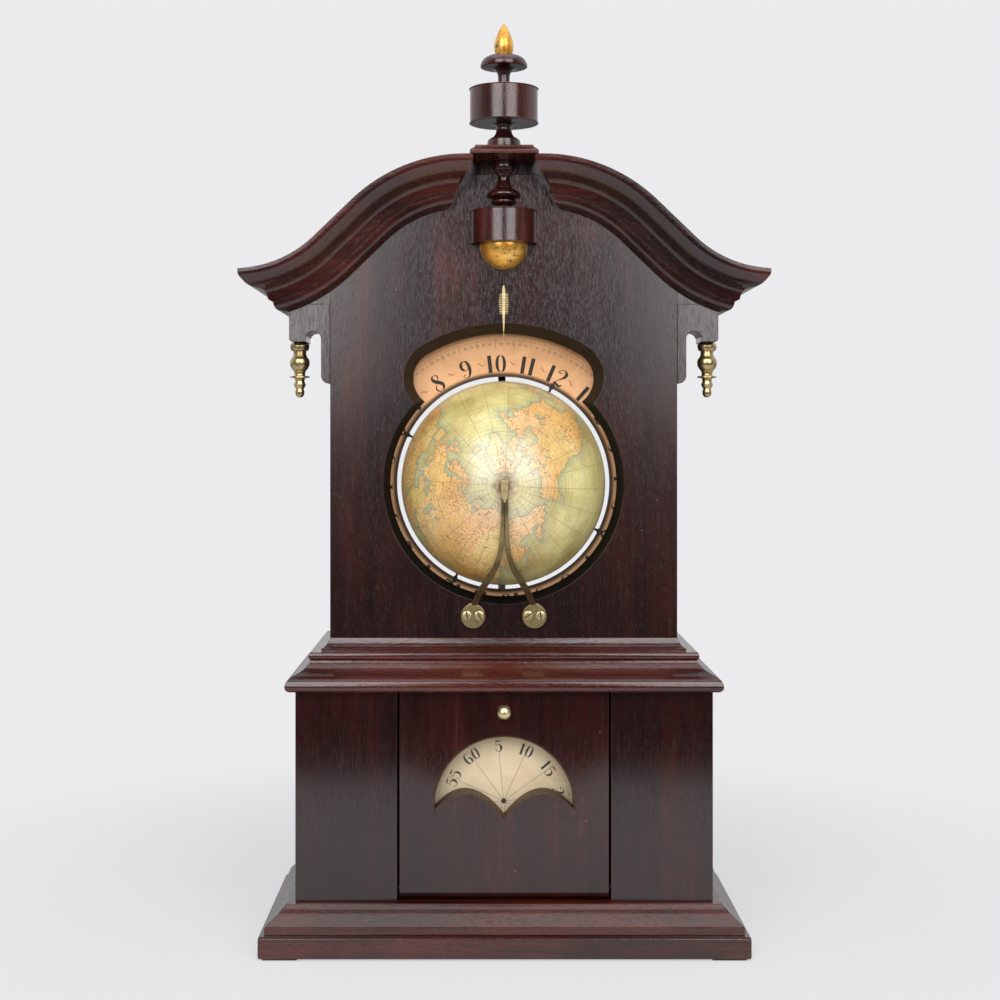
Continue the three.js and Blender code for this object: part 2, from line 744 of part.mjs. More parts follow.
function addDoor() {
  const radius = frontBoardThickness / 2;
  const top = lowerCaseTop - doorTopGap;
  const profile = new THREE.Shape();
  profile.moveTo(caseFrontY, doorPinHeight);
  profile.absarc(doorPinY, doorPinHeight, radius, Math.PI, 2 * Math.PI, false);
  profile.lineTo(doorBackY, top);
  profile.lineTo(caseFrontY, top);
  const slab = new THREE.ExtrudeGeometry(
    profile, { depth: doorWidth, bevelEnabled: false, curveSegments: curveSteps },
  );
  slab.applyMatrix4(new THREE.Matrix4().makeBasis(
    new THREE.Vector3(0, 1, 0), new THREE.Vector3(0, 0, 1), new THREE.Vector3(1, 0, 0),
  ));
  slab.translate(-doorHalf, 0, 0);
  const opening = board(windowOutline(0), caseFrontY - overrun, doorBackY + overrun, windowSteps);
  const bevel = board(
    windowOutline(windowBevel), caseFrontY - overrun, caseFrontY + windowBevel, windowSteps,
  );
  const pinHole = (side) => rodX(
    doorPinRadius + runningGap,
    side * doorHalf - doorPinInDoor - seatGap, side * doorHalf + doorPinInDoor + seatGap,
    doorPinY, doorPinHeight,
  );
  const spigotLength = knobReach * knobSpigotLengthShare;
  const knobSeat = rodY(
    knobRadius * knobSpigotShare + glueLine, 0, caseFrontY - overrun, caseFrontY + spigotLength,
    knobHeight, smallTurnedSides,
  );
  add('door_panel', cut(slab, opening, bevel, pinHole(-1), pinHole(1), knobSeat), darkWood);
  const pinStart = doorHalf - doorPinInDoor;
  const pin = rodX(doorPinRadius, pinStart, pinStart + doorPinLength, doorPinY, doorPinHeight);
  add('door_pin_right', pin, steel);
  add('door_pin_left', mirrored(pin), steel);
  const glassReach = windowRadius + glassOverlap;
  const glass = box(
    -glassReach, glassReach, glassFrontY, glassFrontY + glassThickness,
    minuteHeight - glassBottomDrop, minuteHeight + glassReach,
  );
  add('door_glass', glass, paneGlass);
  const knob = turned(knobShares, knobRadius, knobReach, smallTurnedSides);
  knob.rotateX(Math.PI / 2);
  knob.translate(0, caseFrontY + spigotLength - glueLine, knobHeight);
  add('door_knob', knob, brass);
}

function addWaist() {
  const lower = section(waistLowerShares, waistReach, waistLowerHeight, lowerCaseTop).slice(1, -1);
  const upper = section(waistUpperShares, waistUpperReach, waistUpperHeight, waistJoint).slice(1);
  const outline = [[0, lowerCaseTop], ...lower, ...upper];
  outline[0] = [glueLine, lowerCaseTop];
  outline[outline.length - 1] = [glueLine, waistTop];
  addMouldings('waist_moulding', outline, upperHalf, panelFrontY);
}

// Upper case: the pierced panel, two sides, two back rails and the serpentine roof
function archOutline(inset) {
  const radius = archRadius - inset;
  const endRadius = archEndRadius - inset;
  const endZ = globeHeight + Math.sqrt((archRadius - archEndRadius) ** 2 - archEndX ** 2);
  const tangent = Math.atan2(endZ - globeHeight, archEndX);
  const shape = new THREE.Shape();
  shape.absarc(archEndX, endZ, endRadius, -archEndSweep, tangent, false);
  shape.absarc(0, globeHeight, radius, tangent, Math.PI - tangent, false);
  shape.absarc(-archEndX, endZ, endRadius, Math.PI - tangent, Math.PI + archEndSweep, false);
  shape.lineTo(0, globeHeight);
  return shape.getPoints(curveSteps);
}

function addPanel() {
  const outline = headLine(roofThickness + glueLine, 0, upperHalf, 2 * corniceStations);
  const bottom = deckTop + glueLine;
  const right = [...outline];
  const left = outline.slice(1).map(([x, z]) => [-x, z]).reverse();
  const edge = [[-upperHalf, bottom], [upperHalf, bottom], ...right.reverse(), ...left.reverse()];
  const blank = board(shapeOf(edge), panelFrontY, panelBackY);
  const slope = overrun / panelThickness;
  const front = panelFrontY - overrun;
  const back = panelBackY + overrun;
  const backRadius = openingRadius - openingBevel * (1 + slope);
  const frontRadius = openingRadius + openingBevel * slope;
  const round = new THREE.CylinderGeometry(backRadius, frontRadius, back - front, ringSides);
  round.translate(0, (front + back) / 2, globeHeight);
  const frontRing = archOutline(-archBevel * slope);
  const backRing = archOutline(archBevel * (1 + slope));
  const at = (points, y) => points.map((p) => new THREE.Vector3(p.x, y, p.y));
  const archFaces = THREE.ShapeUtils.triangulateShape(frontRing, []);
  const arch = loft([at(frontRing, front), at(backRing, back)], archFaces);
  add('front_panel', cut(blank, round, arch), darkWood);
}

function addUpperCase() {
  const bottom = deckTop + glueLine;
  const inner = upperHalf - sideBoardThickness;
  const crest = headLine(roofThickness + glueLine, inner, upperHalf, sideStations);
  const sideShape = shapeOf([[inner, bottom], [upperHalf, bottom], ...crest.reverse()]);
  const side = board(sideShape, panelBackY + glueLine, backY);
  add('upper_side_right', side, darkWood);
  add('upper_side_left', mirrored(side), darkWood);
  const railHalf = inner - glueLine;
  const lowerRail = box(-railHalf, railHalf, railFrontY, backY, bottom, bottom + railHeight);
  add('back_rail_lower', lowerRail, innerWood);
  const railBottom = globeHeight + upperRailRise;
  const upperRail = box(-railHalf, railHalf, railFrontY, backY, railBottom, railBottom + railHeight);
  add('back_rail_upper', upperRail, innerWood);
  const outer = headLine(0, 0, headHalf, 2 * corniceStations);
  const under = headLine(roofThickness, 0, upperHalf + glueLine, 2 * corniceStations);
  const right = [
    ...outer, [headHalf, tailBottomHeight], [upperHalf + glueLine, tailBottomHeight], ...under.reverse(),
  ];
  const left = right.slice(1, -1).map(([x, z]) => [-x, z]).reverse();
  add('roof', board(shapeOf([...right, ...left]), panelFrontY, backY), darkWood);
}

// Ears under the head, each with a turned brass drop
function addEars() {
  const inner = upperHalf + glueLine;
  const stripX = inner + earStripWidth;
  const notchX = stripX + earNotchWidth;
  const notchRadius = earNotchWidth / 2;
  const top = tailBottomHeight - glueLine;
  const shape = new THREE.Shape();
  shape.moveTo(inner, top);
  shape.lineTo(inner, earStripBottomHeight);
  const stripZ = earStripBottomHeight + earStripRound;
  shape.absarc(stripX - earStripRound, stripZ, earStripRound, -Math.PI / 2, 0, false);
  shape.absarc(stripX + notchRadius, earNotchTopHeight - notchRadius, notchRadius, Math.PI, 0, true);
  shape.lineTo(notchX, earBottomHeight);
  const cornerZ = earBottomHeight + earCornerRound;
  shape.absarc(headHalf - earCornerRound, cornerZ, earCornerRound, -Math.PI / 2, 0, false);
  shape.lineTo(headHalf, top);
  const ear = board(shape, panelFrontY, panelFrontY + earDepth, earSteps);
  add('ear_right', ear, darkWood);
  add('ear_left', mirrored(ear), darkWood);
  const drop = turned(dropShares, dropRadius, dropLength, smallTurnedSides);
  const dropBottom = earBottomHeight - glueLine - dropLength;
  drop.translate((notchX + headHalf) / 2, panelFrontY + earDepth / 2, dropBottom);
  add('drop_right', drop, brass);
  add('drop_left', mirrored(drop), brass);
}

// Cornice: a section that follows the serpentine head, mitred at the corner and returned at the middle
function addCornice() {
  const profile = corniceShares.map(([p, h]) => [p * corniceReach, (1 - h) * corniceBand]);
  const outline = [...profile, [0, 0]];
  const faces = capOf(outline.map(([p, depth]) => [p, -depth]));
  const lines = outline.map(([p, depth], k) => {
    const inset = k === profile.length ? 0 : corniceInnerReturn * (1 - p / corniceReach);
    return headLine(depth, corniceInnerX + inset, headHalf + p - mitreGap, 2 * corniceStations);
  });
  const ring = (j) => outline.map(([p], k) => {
    const [x, z] = lines[k][j];
    return new THREE.Vector3(x, panelFrontY - glueLine - p, z);
  });
  const rings = lines[0].map((_, j) => ring(j));
  const innerEnd = rings[0].map((point) => new THREE.Vector3(point.x, panelFrontY - glueLine, point.z));
  innerEnd[innerEnd.length - 1].copy(rings[0][innerEnd.length - 1]);
  const front = loft([innerEnd, ...rings], faces);
  add('cornice_front_right', front, darkWood);
  add('cornice_front_left', mirrored(front), darkWood);
  const mitre = outline.map(([p], k) => {
    const [, endZ] = lines[k][lines[k].length - 1];
    return new THREE.Vector3(headHalf + glueLine + p, panelFrontY - p + mitreGap, endZ);
  });
  const back = mitre.map((point) => new THREE.Vector3(point.x, backY, point.z));
  const side = loft([mitre, back], faces);
  add('cornice_side_right', side, darkWood);
  add('cornice_side_left', mirrored(side), darkWood);
}

// Cap with the finial above, the split pendant below
function addCapAndFinial() {
  const ring = (half, z) => [
    new THREE.Vector3(-half, capCentreY - half, z),
    new THREE.Vector3(half, capCentreY - half, z),
    new THREE.Vector3(half, capCentreY + half, z),
    new THREE.Vector3(-half, capCentreY + half, z),
  ];
  const step = (capWidth - capTopWidth) / 2;
  const rings = capShares.map(([inset, rise]) => (
    ring(capWidth / 2 - inset * step, capBottom + rise * capHeight)
  ));
  add('cap', loft(rings, [[0, 1, 2], [0, 2, 3]]), darkWood);
  const finial = turned(finialShares, finialRadius, finialHeight);
  finial.translate(0, capCentreY, capTop + glueLine);
  add('finial', finial, darkWood);
  const flame = turned(flameShares, flameRadius, flameHeight, smallTurnedSides);
  flame.translate(0, capCentreY, capTop + finialHeight + 2 * glueLine);
  add('finial_flame', flame, gilding);
}

function frontHalf(geometry, radius, bottom, top) {
  const behind = box(
    -radius - overrun, radius + overrun, panelFrontY - glueLine, panelFrontY + radius + overrun,
    bottom - overrun, top + overrun,
  );
  return cut(geometry, behind);
}

function addPendant() {
  const top = capBottom - glueLine;
  const bottom = top - pendantHeight;
  const pendant = turned(pendantShares, pendantRadius, pendantHeight);
  pendant.translate(0, panelFrontY, bottom);
  add('pendant', frontHalf(pendant, pendantRadius, bottom, top), darkWood);
  const ballTop = bottom - glueLine;
  const ballShares = Array.from({ length: ballSteps + 1 }, (_, i) => {
    const angle = Math.PI / 2 * i / ballSteps;
    return [Math.sin(angle), 1 - Math.cos(angle)];
  });
  const ball = turned([...ballShares, [0, 1]], gildedBallRadius, gildedBallDrop);
  ball.translate(0, panelFrontY, ballTop - gildedBallDrop);
  add('pendant_ball', frontHalf(ball, gildedBallRadius, ballTop - gildedBallDrop, ballTop), gilding);
}

// Globe shell with a hole at each pole, and the hour ring round it
function addGlobe() {
  const hole = globeArborRadius + seatGap;
  const arc = (radius, bands, reverse) => {
    const start = Math.asin(hole / radius);
    const points = [];
    for (let i = 0; i <= bands; i += 1) {
      const angle = start + (Math.PI - 2 * start) * i / bands;
      points.push(new THREE.Vector2(radius * Math.sin(angle), radius * Math.cos(angle)));
    }
    return reverse ? points.reverse() : points;
  };
  const outer = arc(globeRadius, globeBands, false);
  const inner = arc(globeRadius - globeWall, globeBands / 2, true);
  const shell = new THREE.LatheGeometry([...outer, ...inner, outer[0]], globeSides);
  shell.deleteAttribute('uv');
  shell.deleteAttribute('normal');
  shell.translate(0, globeY, globeHeight);
  add('globe', facingOut(withoutSlivers(shell)), globePaper);

  const shape = new THREE.Shape();
  shape.absarc(0, globeHeight, ringOuterRadius, 0, 2 * Math.PI, false);
  const hollow = new THREE.Path();
  hollow.absarc(0, globeHeight, ringInnerRadius, 0, 2 * Math.PI, true);
  shape.holes.push(hollow);
  const ringFrontY = globeY - ringThickness / 2;
  const ring = board(shape, ringFrontY, ringFrontY + ringThickness, ringSides);
  const stud = (i) => {
    const angle = studStartAngle + i * 2 * Math.PI / studCount;
    const inside = globeRadius + seatGap;
    const bar = box(
      -studWidth / 2, studWidth / 2, ringFrontY - studWidth / 2, ringFrontY + ringThickness / 2,
      inside, ringInnerRadius + studWidth,
    );
    bar.rotateY(angle);
    bar.translate(0, 0, globeHeight);
    return bar;
  };
  add('hour_ring', join(ring, ...Array.from({ length: studCount }, (_, i) => stud(i))), dialPaper);
}

// A pinion's star outline round a centre, with a leaf towards the given angle
function pinionShape(leaves, module, centre, toward) {
  const pitchRadius = leaves * module / 2;
  const tip = pitchRadius + module * addendumShare;
  const root = pitchRadius - module * dedendumShare;
  const pitch = 2 * Math.PI / leaves;
  const half = pitch * leafShare / 2;
  const flank = [[root, half * leafRootShare], [pitchRadius, half], [tip, half * toothTipShare]];
  const leaf = [...flank.map(([radius, offset]) => [radius, -offset]), ...[...flank].reverse()];
  const points = [];
  for (let i = 0; i < leaves; i += 1) {
    leaf.forEach(([radius, offset]) => points.push(axisFrom(centre, radius, toward + i * pitch + offset)));
  }
  return new THREE.Shape(points);
}

// A wheel's toothed outline round a centre, with a gap towards the given angle and crossings cut out
function wheelShape(teeth, module, centre, toward, crossed) {
  const pitchRadius = teeth * module / 2;
  const tip = pitchRadius + module * addendumShare;
  const root = pitchRadius - module * wheelRootShare;
  const pitch = 2 * Math.PI / teeth;
  const half = pitch * wheelToothShare / 2;
  const points = [];
  for (let i = 0; i < teeth; i += 1) {
    const middle = toward + (i + 0.5) * pitch;
    points.push(axisFrom(centre, root, middle - pitch / 2));
    points.push(axisFrom(centre, tip, middle - half * toothTipShare));
    points.push(axisFrom(centre, tip, middle + half * toothTipShare));
  }
  const shape = new THREE.Shape(points);
  if (crossed) {
    const rim = root - module * rimShare;
    const hub = trainArborRadius * hubOfArborShare;
    for (let i = 0; i < crossings; i += 1) {
      const arc = (radius) => crossingShares.map((share) => (
        axisFrom(centre, radius, (i + share) * 2 * Math.PI / crossings)
      ));
      shape.holes.push(new THREE.Path([...arc(rim), ...arc(hub).reverse()]));
    }
  }
  return shape;
}

// A crown ring round the Z axis: its teeth point to +Z, the pitch plane is z = 0, a gap lies towards +X
function crown(teeth, module, width, plate) {
  const pitchRadius = teeth * module / 2;
  const inner = pitchRadius - width / 2;
  const outer = pitchRadius + width / 2;
  const tip = module * addendumShare;
  const root = -(module * dedendumShare + crownRootExtra);
  const pitch = 2 * Math.PI / teeth;
  const half = pitch * wheelToothShare / 2;
  const rings = [];
  for (let i = 0; i < teeth; i += 1) {
    const middle = (i + 0.5) * pitch;
    const tooth = [[-pitch / 2, root], [-half * toothTipShare, tip], [half * toothTipShare, tip]];
    for (const [offset, z] of tooth) {
      const [cos, sin] = [Math.cos(middle + offset), Math.sin(middle + offset)];
      const at = (radius, height) => new THREE.Vector3(radius * cos, radius * sin, height);
      rings.push([at(inner, root - plate), at(outer, root - plate), at(outer, z), at(inner, z)]);
    }
  }
  return loft(rings, null);
}

// Globe arbor: front pivot, body through the shell, crossed wheel with crown teeth, rear journal
function addGlobeArbor() {
  const front = globeY - globeRadius - poleGap - forkHeadThickness / 2;
  const bodyFront = globeY - globeRadius - poleGap + seatGap;
  const body = rodY(globeArborRadius, 0, bodyFront, upperPlateY + crownPlate, globeHeight);
  const pivot = rodY(pivotRadius, 0, front, globeY, globeHeight);
  const journal = rodY(rearJournalRadius, 0, upperPlateY, strapFrontY + strapThickness, globeHeight);
  const wheelRim = crown(upperCrownTeeth, upperModule, upperCrownWidth, crownPlate);
  const rootDepth = upperModule * dedendumShare + crownRootExtra;
  const spokeReach = upperCrownRadius - upperCrownWidth * spokeIntoRimShare;
  const spokeHalf = globeArborRadius * spokeShare;
  const spoke = box(-spokeReach, spokeReach, -spokeHalf, spokeHalf, -rootDepth - crownPlate, -rootDepth);
  const crossSpoke = spoke.clone().rotateZ(Math.PI / 2);
  const hub = rodZ(globeArborRadius * hubShare, 0, 0, -rootDepth - crownPlate, -rootDepth);
  const wheel = join(wheelRim, spoke, crossSpoke, hub);
  wheel.rotateX(Math.PI / 2);
  wheel.rotateY(Math.PI / 2);
  wheel.translate(0, upperPitchY, globeHeight);
  add('globe_arbor', join(body, pivot, journal, wheel), brass);
}

// Vertical shaft: lower crown over the minute pinion, upper pinion under the globe's wheel
function addDriveShaft() {
  const shaft = rodZ(shaftRadius, 0, shaftY, shaftBottom + seatGap, shaftTop);
  const ring = crown(lowerCrownTeeth, lowerModule, lowerCrownWidth, crownPlate);
  const rootDepth = lowerModule * dedendumShare + crownRootExtra;
  const plate = rodZ(lowerCrownRadius, 0, 0, -rootDepth - crownPlate, -rootDepth, turnedSides);
  const lower = join(ring, plate);
  lower.rotateX(Math.PI);
  lower.rotateZ(Math.PI / 2);
  lower.translate(0, shaftY, lowerPitchHeight);
  const leafShape = pinionShape(pinionLeaves, upperModule, new THREE.Vector2(0, shaftY), Math.PI / 2);
  const leaves = new THREE.ExtrudeGeometry(leafShape, { depth: pinionLength, bevelEnabled: false });
  leaves.translate(0, 0, globeHeight - upperCrownRadius - pinionLength / 2);
  add('drive_shaft', join(shaft, lower, leaves), brass);
  const postBottom = slabTop + glueLine;
  const post = rodZ(footPostRadius, 0, shaftY, postBottom, postBottom + footPostHeight, boreSides);
  const socketTop = shaftBottom + footSocketDepth + overrun;
  const socket = rodZ(shaftRadius + runningGap, 0, shaftY, shaftBottom, socketTop);
  add('shaft_foot', cut(post, socket), brass);
}

// Minute arbor with its hub, centre pinion, centre wheel and rear pinion, and the paper-faced disc
function addMinuteArbor() {
  const rear = shaftY - lowerCrownRadius + pinionLength / 2;
  const arbor = rodY(minuteArborRadius, 0, discFrontY, rear + seatGap, minuteHeight);
  const hub = rodY(
    minuteHubRadius, 0, discBackY + glueLine, discBackY + minuteHubRadius, minuteHeight, smallTurnedSides,
  );
  const rearLeaves = pinionShape(pinionLeaves, lowerModule, minuteAxis, Math.PI / 2);
  const rearPinion = board(rearLeaves, rear - pinionLength, rear);
  const centrePinion = pinionOn(
    centreLeaves, intermediateModule, minuteAxis, intermediateAngle, intermediateWheelY, centrePinionLength,
  );
  const centreGear = wheelShape(centreTeeth, centreModule, minuteAxis, thirdAngle, true);
  const centreWheel = board(centreGear, centreWheelY, centreWheelY + wheelThickness);
  add('minute_arbor', join(arbor, hub, rearPinion, centrePinion, centreWheel), brass);
  const disc = rodY(minuteDiscRadius, 0, discFrontY, discBackY, minuteHeight, ringSides);
  const hole = rodY(
    minuteArborRadius + glueLine, 0, discFrontY - overrun, discBackY + overrun, minuteHeight,
  );
  add('minute_disc', cut(disc, hole), minutePaper);
}

// A pinion on an arbor along Y, as long as said and centred on the wheel that meets it
function pinionOn(leaves, module, centre, toward, wheelY, length) {
  const front = wheelY + (wheelThickness - length) / 2;
  return board(pinionShape(leaves, module, centre, toward), front, front + length);
}

// Spring barrel with its great wheel and winding square
function addSpringBarrel() {
  const { x, y: z } = barrelAxis;
  const teeth = wheelShape(greatTeeth, greatModule, barrelAxis, barrelAngle + Math.PI, false);
  const greatWheel = board(teeth, greatWheelY, greatWheelY + wheelThickness);
  const drumBack = greatWheelY + wheelThickness + barrelLength;
  const drum = rodY(barrelRadius, x, greatWheelY, drumBack, z, turnedSides);
  const arbor = rodY(barrelArborRadius, x, trainFrontY + seatGap, backPlateY - seatGap, z);
  const pivots = rodY(barrelPivotRadius, x, frontPlateY - seatGap, backPlateY + plateThickness, z);
  const half = windingSquare / 2;
  const squareFront = frontPlateY - windingReach;
  const square = box(x - half, x + half, squareFront, frontPlateY - glueLine, z - half, z + half);
  add('spring_barrel', join(arbor, greatWheel, drum, pivots, square), brass);
}

// Intermediate arbor: its pinion meets the great wheel, its wheel the centre pinion
function addIntermediateWheel() {
  const { x, y: z } = intermediateAxis;
  const teeth = wheelShape(
    intermediateTeeth, intermediateModule, intermediateAxis, intermediateAngle + Math.PI, true,
  );
  const wheel = board(teeth, intermediateWheelY, intermediateWheelY + wheelThickness);
  const pinion = pinionOn(
    intermediateLeaves, greatModule, intermediateAxis, barrelAngle, greatWheelY, intermediatePinionLength,
  );
  const arbor = rodY(trainArborRadius, x, trainFrontY + seatGap, backPlateY - seatGap, z);
  const pivots = rodY(trainPivotRadius, x, frontPlateY, backPlateY + plateThickness, z);
  add('intermediate_wheel', join(arbor, wheel, pinion, pivots), brass);
}

// Third arbor from the front plate into the closed escapement, which is fixed to the back plate
function addEscapement() {
  const { x, y: z } = thirdAxis;
  const back = backPlateY - glueLine;
  const front = back - escapementLength;
  const pinion = pinionOn(
    thirdLeaves, centreModule, thirdAxis, thirdAngle + Math.PI, centreWheelY, thirdPinionLength,
  );
  const arbor = rodY(trainArborRadius, x, trainFrontY + seatGap, front - seatGap, z);
  const pivots = rodY(trainPivotRadius, x, frontPlateY, front + escapementBoreDepth - seatGap, z);
  add('third_arbor', join(arbor, pinion, pivots), brass);
  const drum = turned(escapementShares, escapementRadius, escapementLength);
  drum.rotateX(-Math.PI / 2);
  drum.translate(escapementAxis.x, front, escapementAxis.y);
  const bore = rodY(trainPivotRadius + runningGap, x, front - overrun, front + escapementBoreDepth, z);
  add('escapement_drum', cut(drum, bore), brass);
}

// Brass fork from the panel over the globe to its front pole
function addFork() {
  const forkFootDrop = openingRadius + forkFootBelowOpening;
  const footZ = globeHeight - forkFootDrop;
  const headY = globeY - globeRadius - poleGap - forkHeadThickness / 2;
  const footForward = globeY - panelFrontY + glueLine + forkHeadThickness / 2;
  const ballRadius = globeRadius + poleGap + forkHeadThickness / 2;
  const crotchShare = 1 - forkCrotchDrop / forkFootDrop;
  const route = new THREE.CatmullRomCurve3(Array.from({ length: forkStations + 1 }, (_, i) => {
    const rise = i / forkStations;
    const lean = rise < crotchShare ? (1 + Math.cos(Math.PI * rise / crotchShare)) / 2 : 0;
    const x = forkArmWidth / 2 + (forkFootX - forkArmWidth / 2) * lean;
    const drop = forkFootDrop * (1 - rise);
    const overBall = Math.sqrt(Math.max(ballRadius ** 2 - drop ** 2 - x ** 2, 0));
    const forward = (overBall ** forkBend + footForward ** forkBend) ** (1 / forkBend);
    return new THREE.Vector3(x, globeY - Math.min(forward, ballRadius), globeHeight - drop);
  }));
  const square = [[-1, -1], [1, -1], [1, 1], [-1, 1]];
  const rings = route.getPoints(forkStations).map((centre, i) => {
    const along = route.getTangent(i / forkStations);
    const across = new THREE.Vector3(1, 0, 0).addScaledVector(along, -along.x).normalize();
    const deep = new THREE.Vector3().crossVectors(along, across);
    return square.map(([a, b]) => centre.clone()
      .addScaledVector(across, a * (forkArmWidth / 2 + glueLine / 2))
      .addScaledVector(deep, b * forkHeadThickness / 2));
  });
  const arm = loft(rings, [[0, 1, 2], [0, 2, 3]]);
  const footBack = panelFrontY - glueLine;
  const foot = rodY(forkFootRadius, forkFootX, footBack - forkFootThickness, footBack, footZ, turnedSides);
  const half = join(arm, foot);
  const headFront = headY - forkHeadThickness / 2;
  const headBack = headFront + forkHeadThickness;
  const head = rodY(forkHeadRadius, 0, headFront, headBack, globeHeight, smallTurnedSides);
  const hole = rodY(pivotRadius + runningGap, 0, headY, headY + forkHeadThickness + overrun, globeHeight);
  const front = box(
    -forkFootX, forkFootX, headFront - overrun, headFront,
    globeHeight - forkFootDrop, globeHeight + forkFootDrop,
  );
  const wall = box(
    -2 * forkFootX, 2 * forkFootX, panelFrontY - glueLine, panelFrontY + forkHeadThickness,
    footZ - forkFootRadius - overrun, footZ + forkFootRadius + overrun,
  );
  const whole = cut(join(half, mirrored(half), head), hole, front, wall);
  add('globe_fork', whole, brass);
}

// Feathered hour pointer on the panel above the arched window
function addPointer() {
  const half = pointerWidth / 2;
  const side = [[half * pointerShares.top, 0], [half, half]];
  for (let i = 0; i < featherCount; i += 1) {
    const drop = featherTopDrop + i * featherPitch;
    const end = drop + featherPitch / 2;
    side.push([half, drop], [featherHalfWidth, drop], [featherHalfWidth, end], [half, end]);
  }
  side.push([half, pointerLength * pointerShares.shoulder], [half * pointerShares.tip, pointerLength]);
  const right = side.map(([x, drop]) => [x, pointerTopHeight - drop]);
  const left = side.map(([x, drop]) => [-x, pointerTopHeight - drop]).reverse();
  const y1 = panelFrontY - glueLine;
  add('hour_pointer', board(shapeOf([...right, ...left]), y1 - pointerThickness, y1), brass);
}

// Rear strap: a flat bar behind the globe, with the rear bearing and the shaft's cock
function addStrap() {
  const bottom = deckTop + glueLine + seatGap;
  const top = globeHeight + upperRailRise + railHeight;
  const back = strapFrontY + strapThickness;
  const bar = box(-strapWidth / 2, strapWidth / 2, strapFrontY, back, bottom, top);
  const bossFront = strapFrontY - strapBossThickness;
  const boss = rodY(strapBossRadius, 0, bossFront, back, globeHeight, smallTurnedSides);
  const bore = rodY(rearJournalRadius + runningGap, 0, bossFront - overrun, back + overrun, globeHeight);
  const cockTop = globeHeight - upperCrownRadius - upperCrownWidth / 2 - cockBelowWheel;
  const cockBottom = cockTop - cockHeight;
  const cock = box(
    -cockWidth / 2, cockWidth / 2, shaftY - cockWidth / 2, strapFrontY + glueLine, cockBottom, cockTop,
  );
  const shaftBore = rodZ(shaftRadius + runningGap, 0, shaftY, cockBottom - overrun, cockTop + overrun);
  add('rear_strap', cut(join(bar, boss, cock), bore, shaftBore), steel);
}

// Movement plates on a seat board, with four pillars
function addMovement() {
  const half = plateWidth / 2;
  const bottom = seatBoardTop + glueLine;
  const top = bottom + plateHeight;
  const back = backPlateY + plateThickness;
  const boreAt = (axis, radius) => (
    rodY(radius + runningGap, axis.x, frontPlateY - overrun, back + overrun, axis.y)
  );
  const throughBores = [
    boreAt(minuteAxis, minuteArborRadius),
    boreAt(barrelAxis, barrelPivotRadius),
    boreAt(intermediateAxis, trainPivotRadius),
  ];
  const plate = (y) => box(-half, half, y, y + plateThickness, bottom, top);
  const frontPlate = cut(plate(frontPlateY), ...throughBores, boreAt(thirdAxis, trainPivotRadius));
  add('front_plate', frontPlate, brass);
  const pillars = [];
  for (const x of [pillarInset - half, half - pillarInset]) {
    for (const z of [bottom + pillarInset, top - pillarInset]) {
      const front = trainFrontY + glueLine;
      pillars.push(rodY(pillarRadius, x, front, backPlateY + glueLine, z, smallTurnedSides));
    }
  }
  add('back_plate', cut(join(plate(backPlateY), ...pillars), ...throughBores), brass);
  const seat = box(
    -seatBoardWidth / 2, seatBoardWidth / 2, frontPlateY - seatBoardMargin, back + seatBoardMargin,
    slabTop + glueLine, seatBoardTop,
  );
  add('seat_board', seat, innerWood);
}

addBase();
addLowerCase();
addDoor();
addWaist();
addPanel();
addUpperCase();
addEars();
addCornice();
addCapAndFinial();
addPendant();
addGlobe();
addGlobeArbor();
addDriveShaft();
addMinuteArbor();
addSpringBarrel();
addIntermediateWheel();
addEscapement();
addFork();
addPointer();
addStrap();
addMovement();

export default clock;
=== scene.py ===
import math

import bmesh
import bpy
import numpy as np
from mathutils import Matrix, Vector


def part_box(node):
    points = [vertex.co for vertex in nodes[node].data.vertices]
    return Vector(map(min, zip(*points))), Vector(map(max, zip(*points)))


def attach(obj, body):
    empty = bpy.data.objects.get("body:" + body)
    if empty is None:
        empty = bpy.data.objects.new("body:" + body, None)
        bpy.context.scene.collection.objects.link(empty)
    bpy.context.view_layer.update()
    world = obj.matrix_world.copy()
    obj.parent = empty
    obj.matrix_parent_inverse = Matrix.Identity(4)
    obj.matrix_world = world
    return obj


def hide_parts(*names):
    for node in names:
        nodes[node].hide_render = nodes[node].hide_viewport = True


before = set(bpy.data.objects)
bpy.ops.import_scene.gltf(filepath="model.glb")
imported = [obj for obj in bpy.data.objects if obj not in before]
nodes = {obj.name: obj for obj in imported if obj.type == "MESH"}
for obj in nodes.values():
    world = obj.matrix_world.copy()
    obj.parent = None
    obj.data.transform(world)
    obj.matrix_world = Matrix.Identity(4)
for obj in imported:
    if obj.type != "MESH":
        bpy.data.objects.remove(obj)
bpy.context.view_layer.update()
scene = bpy.context.scene
MM = 0.001


# Sizes shared with the carcase, in metres
panel_low, panel_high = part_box("front_panel")
panel_front, panel_back = panel_low.y, panel_high.y
case_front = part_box("door_panel")[0].y
back_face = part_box("roof")[1].y
lower_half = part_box("lower_side_right")[1].x
upper_half = panel_high.x
head_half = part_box("roof")[1].x
globe_low, globe_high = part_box("globe")
arbor_low, arbor_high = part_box("globe_arbor")
globe_height = (arbor_low.z + arbor_high.z) / 2
globe_centre = Vector((0, (globe_low.y + globe_high.y) / 2, globe_height))
disc_low, disc_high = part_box("minute_disc")
minute_height = (disc_low.z + disc_high.z) / 2
ring_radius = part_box("hour_ring")[1].x
disc_radius = disc_high.x
GLOBE_RADIUS = 78 * MM
RING_BORE = 81.3 * MM
# Faces laid on a board stand clear of it by the glue, mitred ends by their gap
GLUE = 0.1 * MM
MITRE_GAP = 0.12 * MM
PRINT_RISE = 0.05 * MM
glued_front = panel_front - GLUE


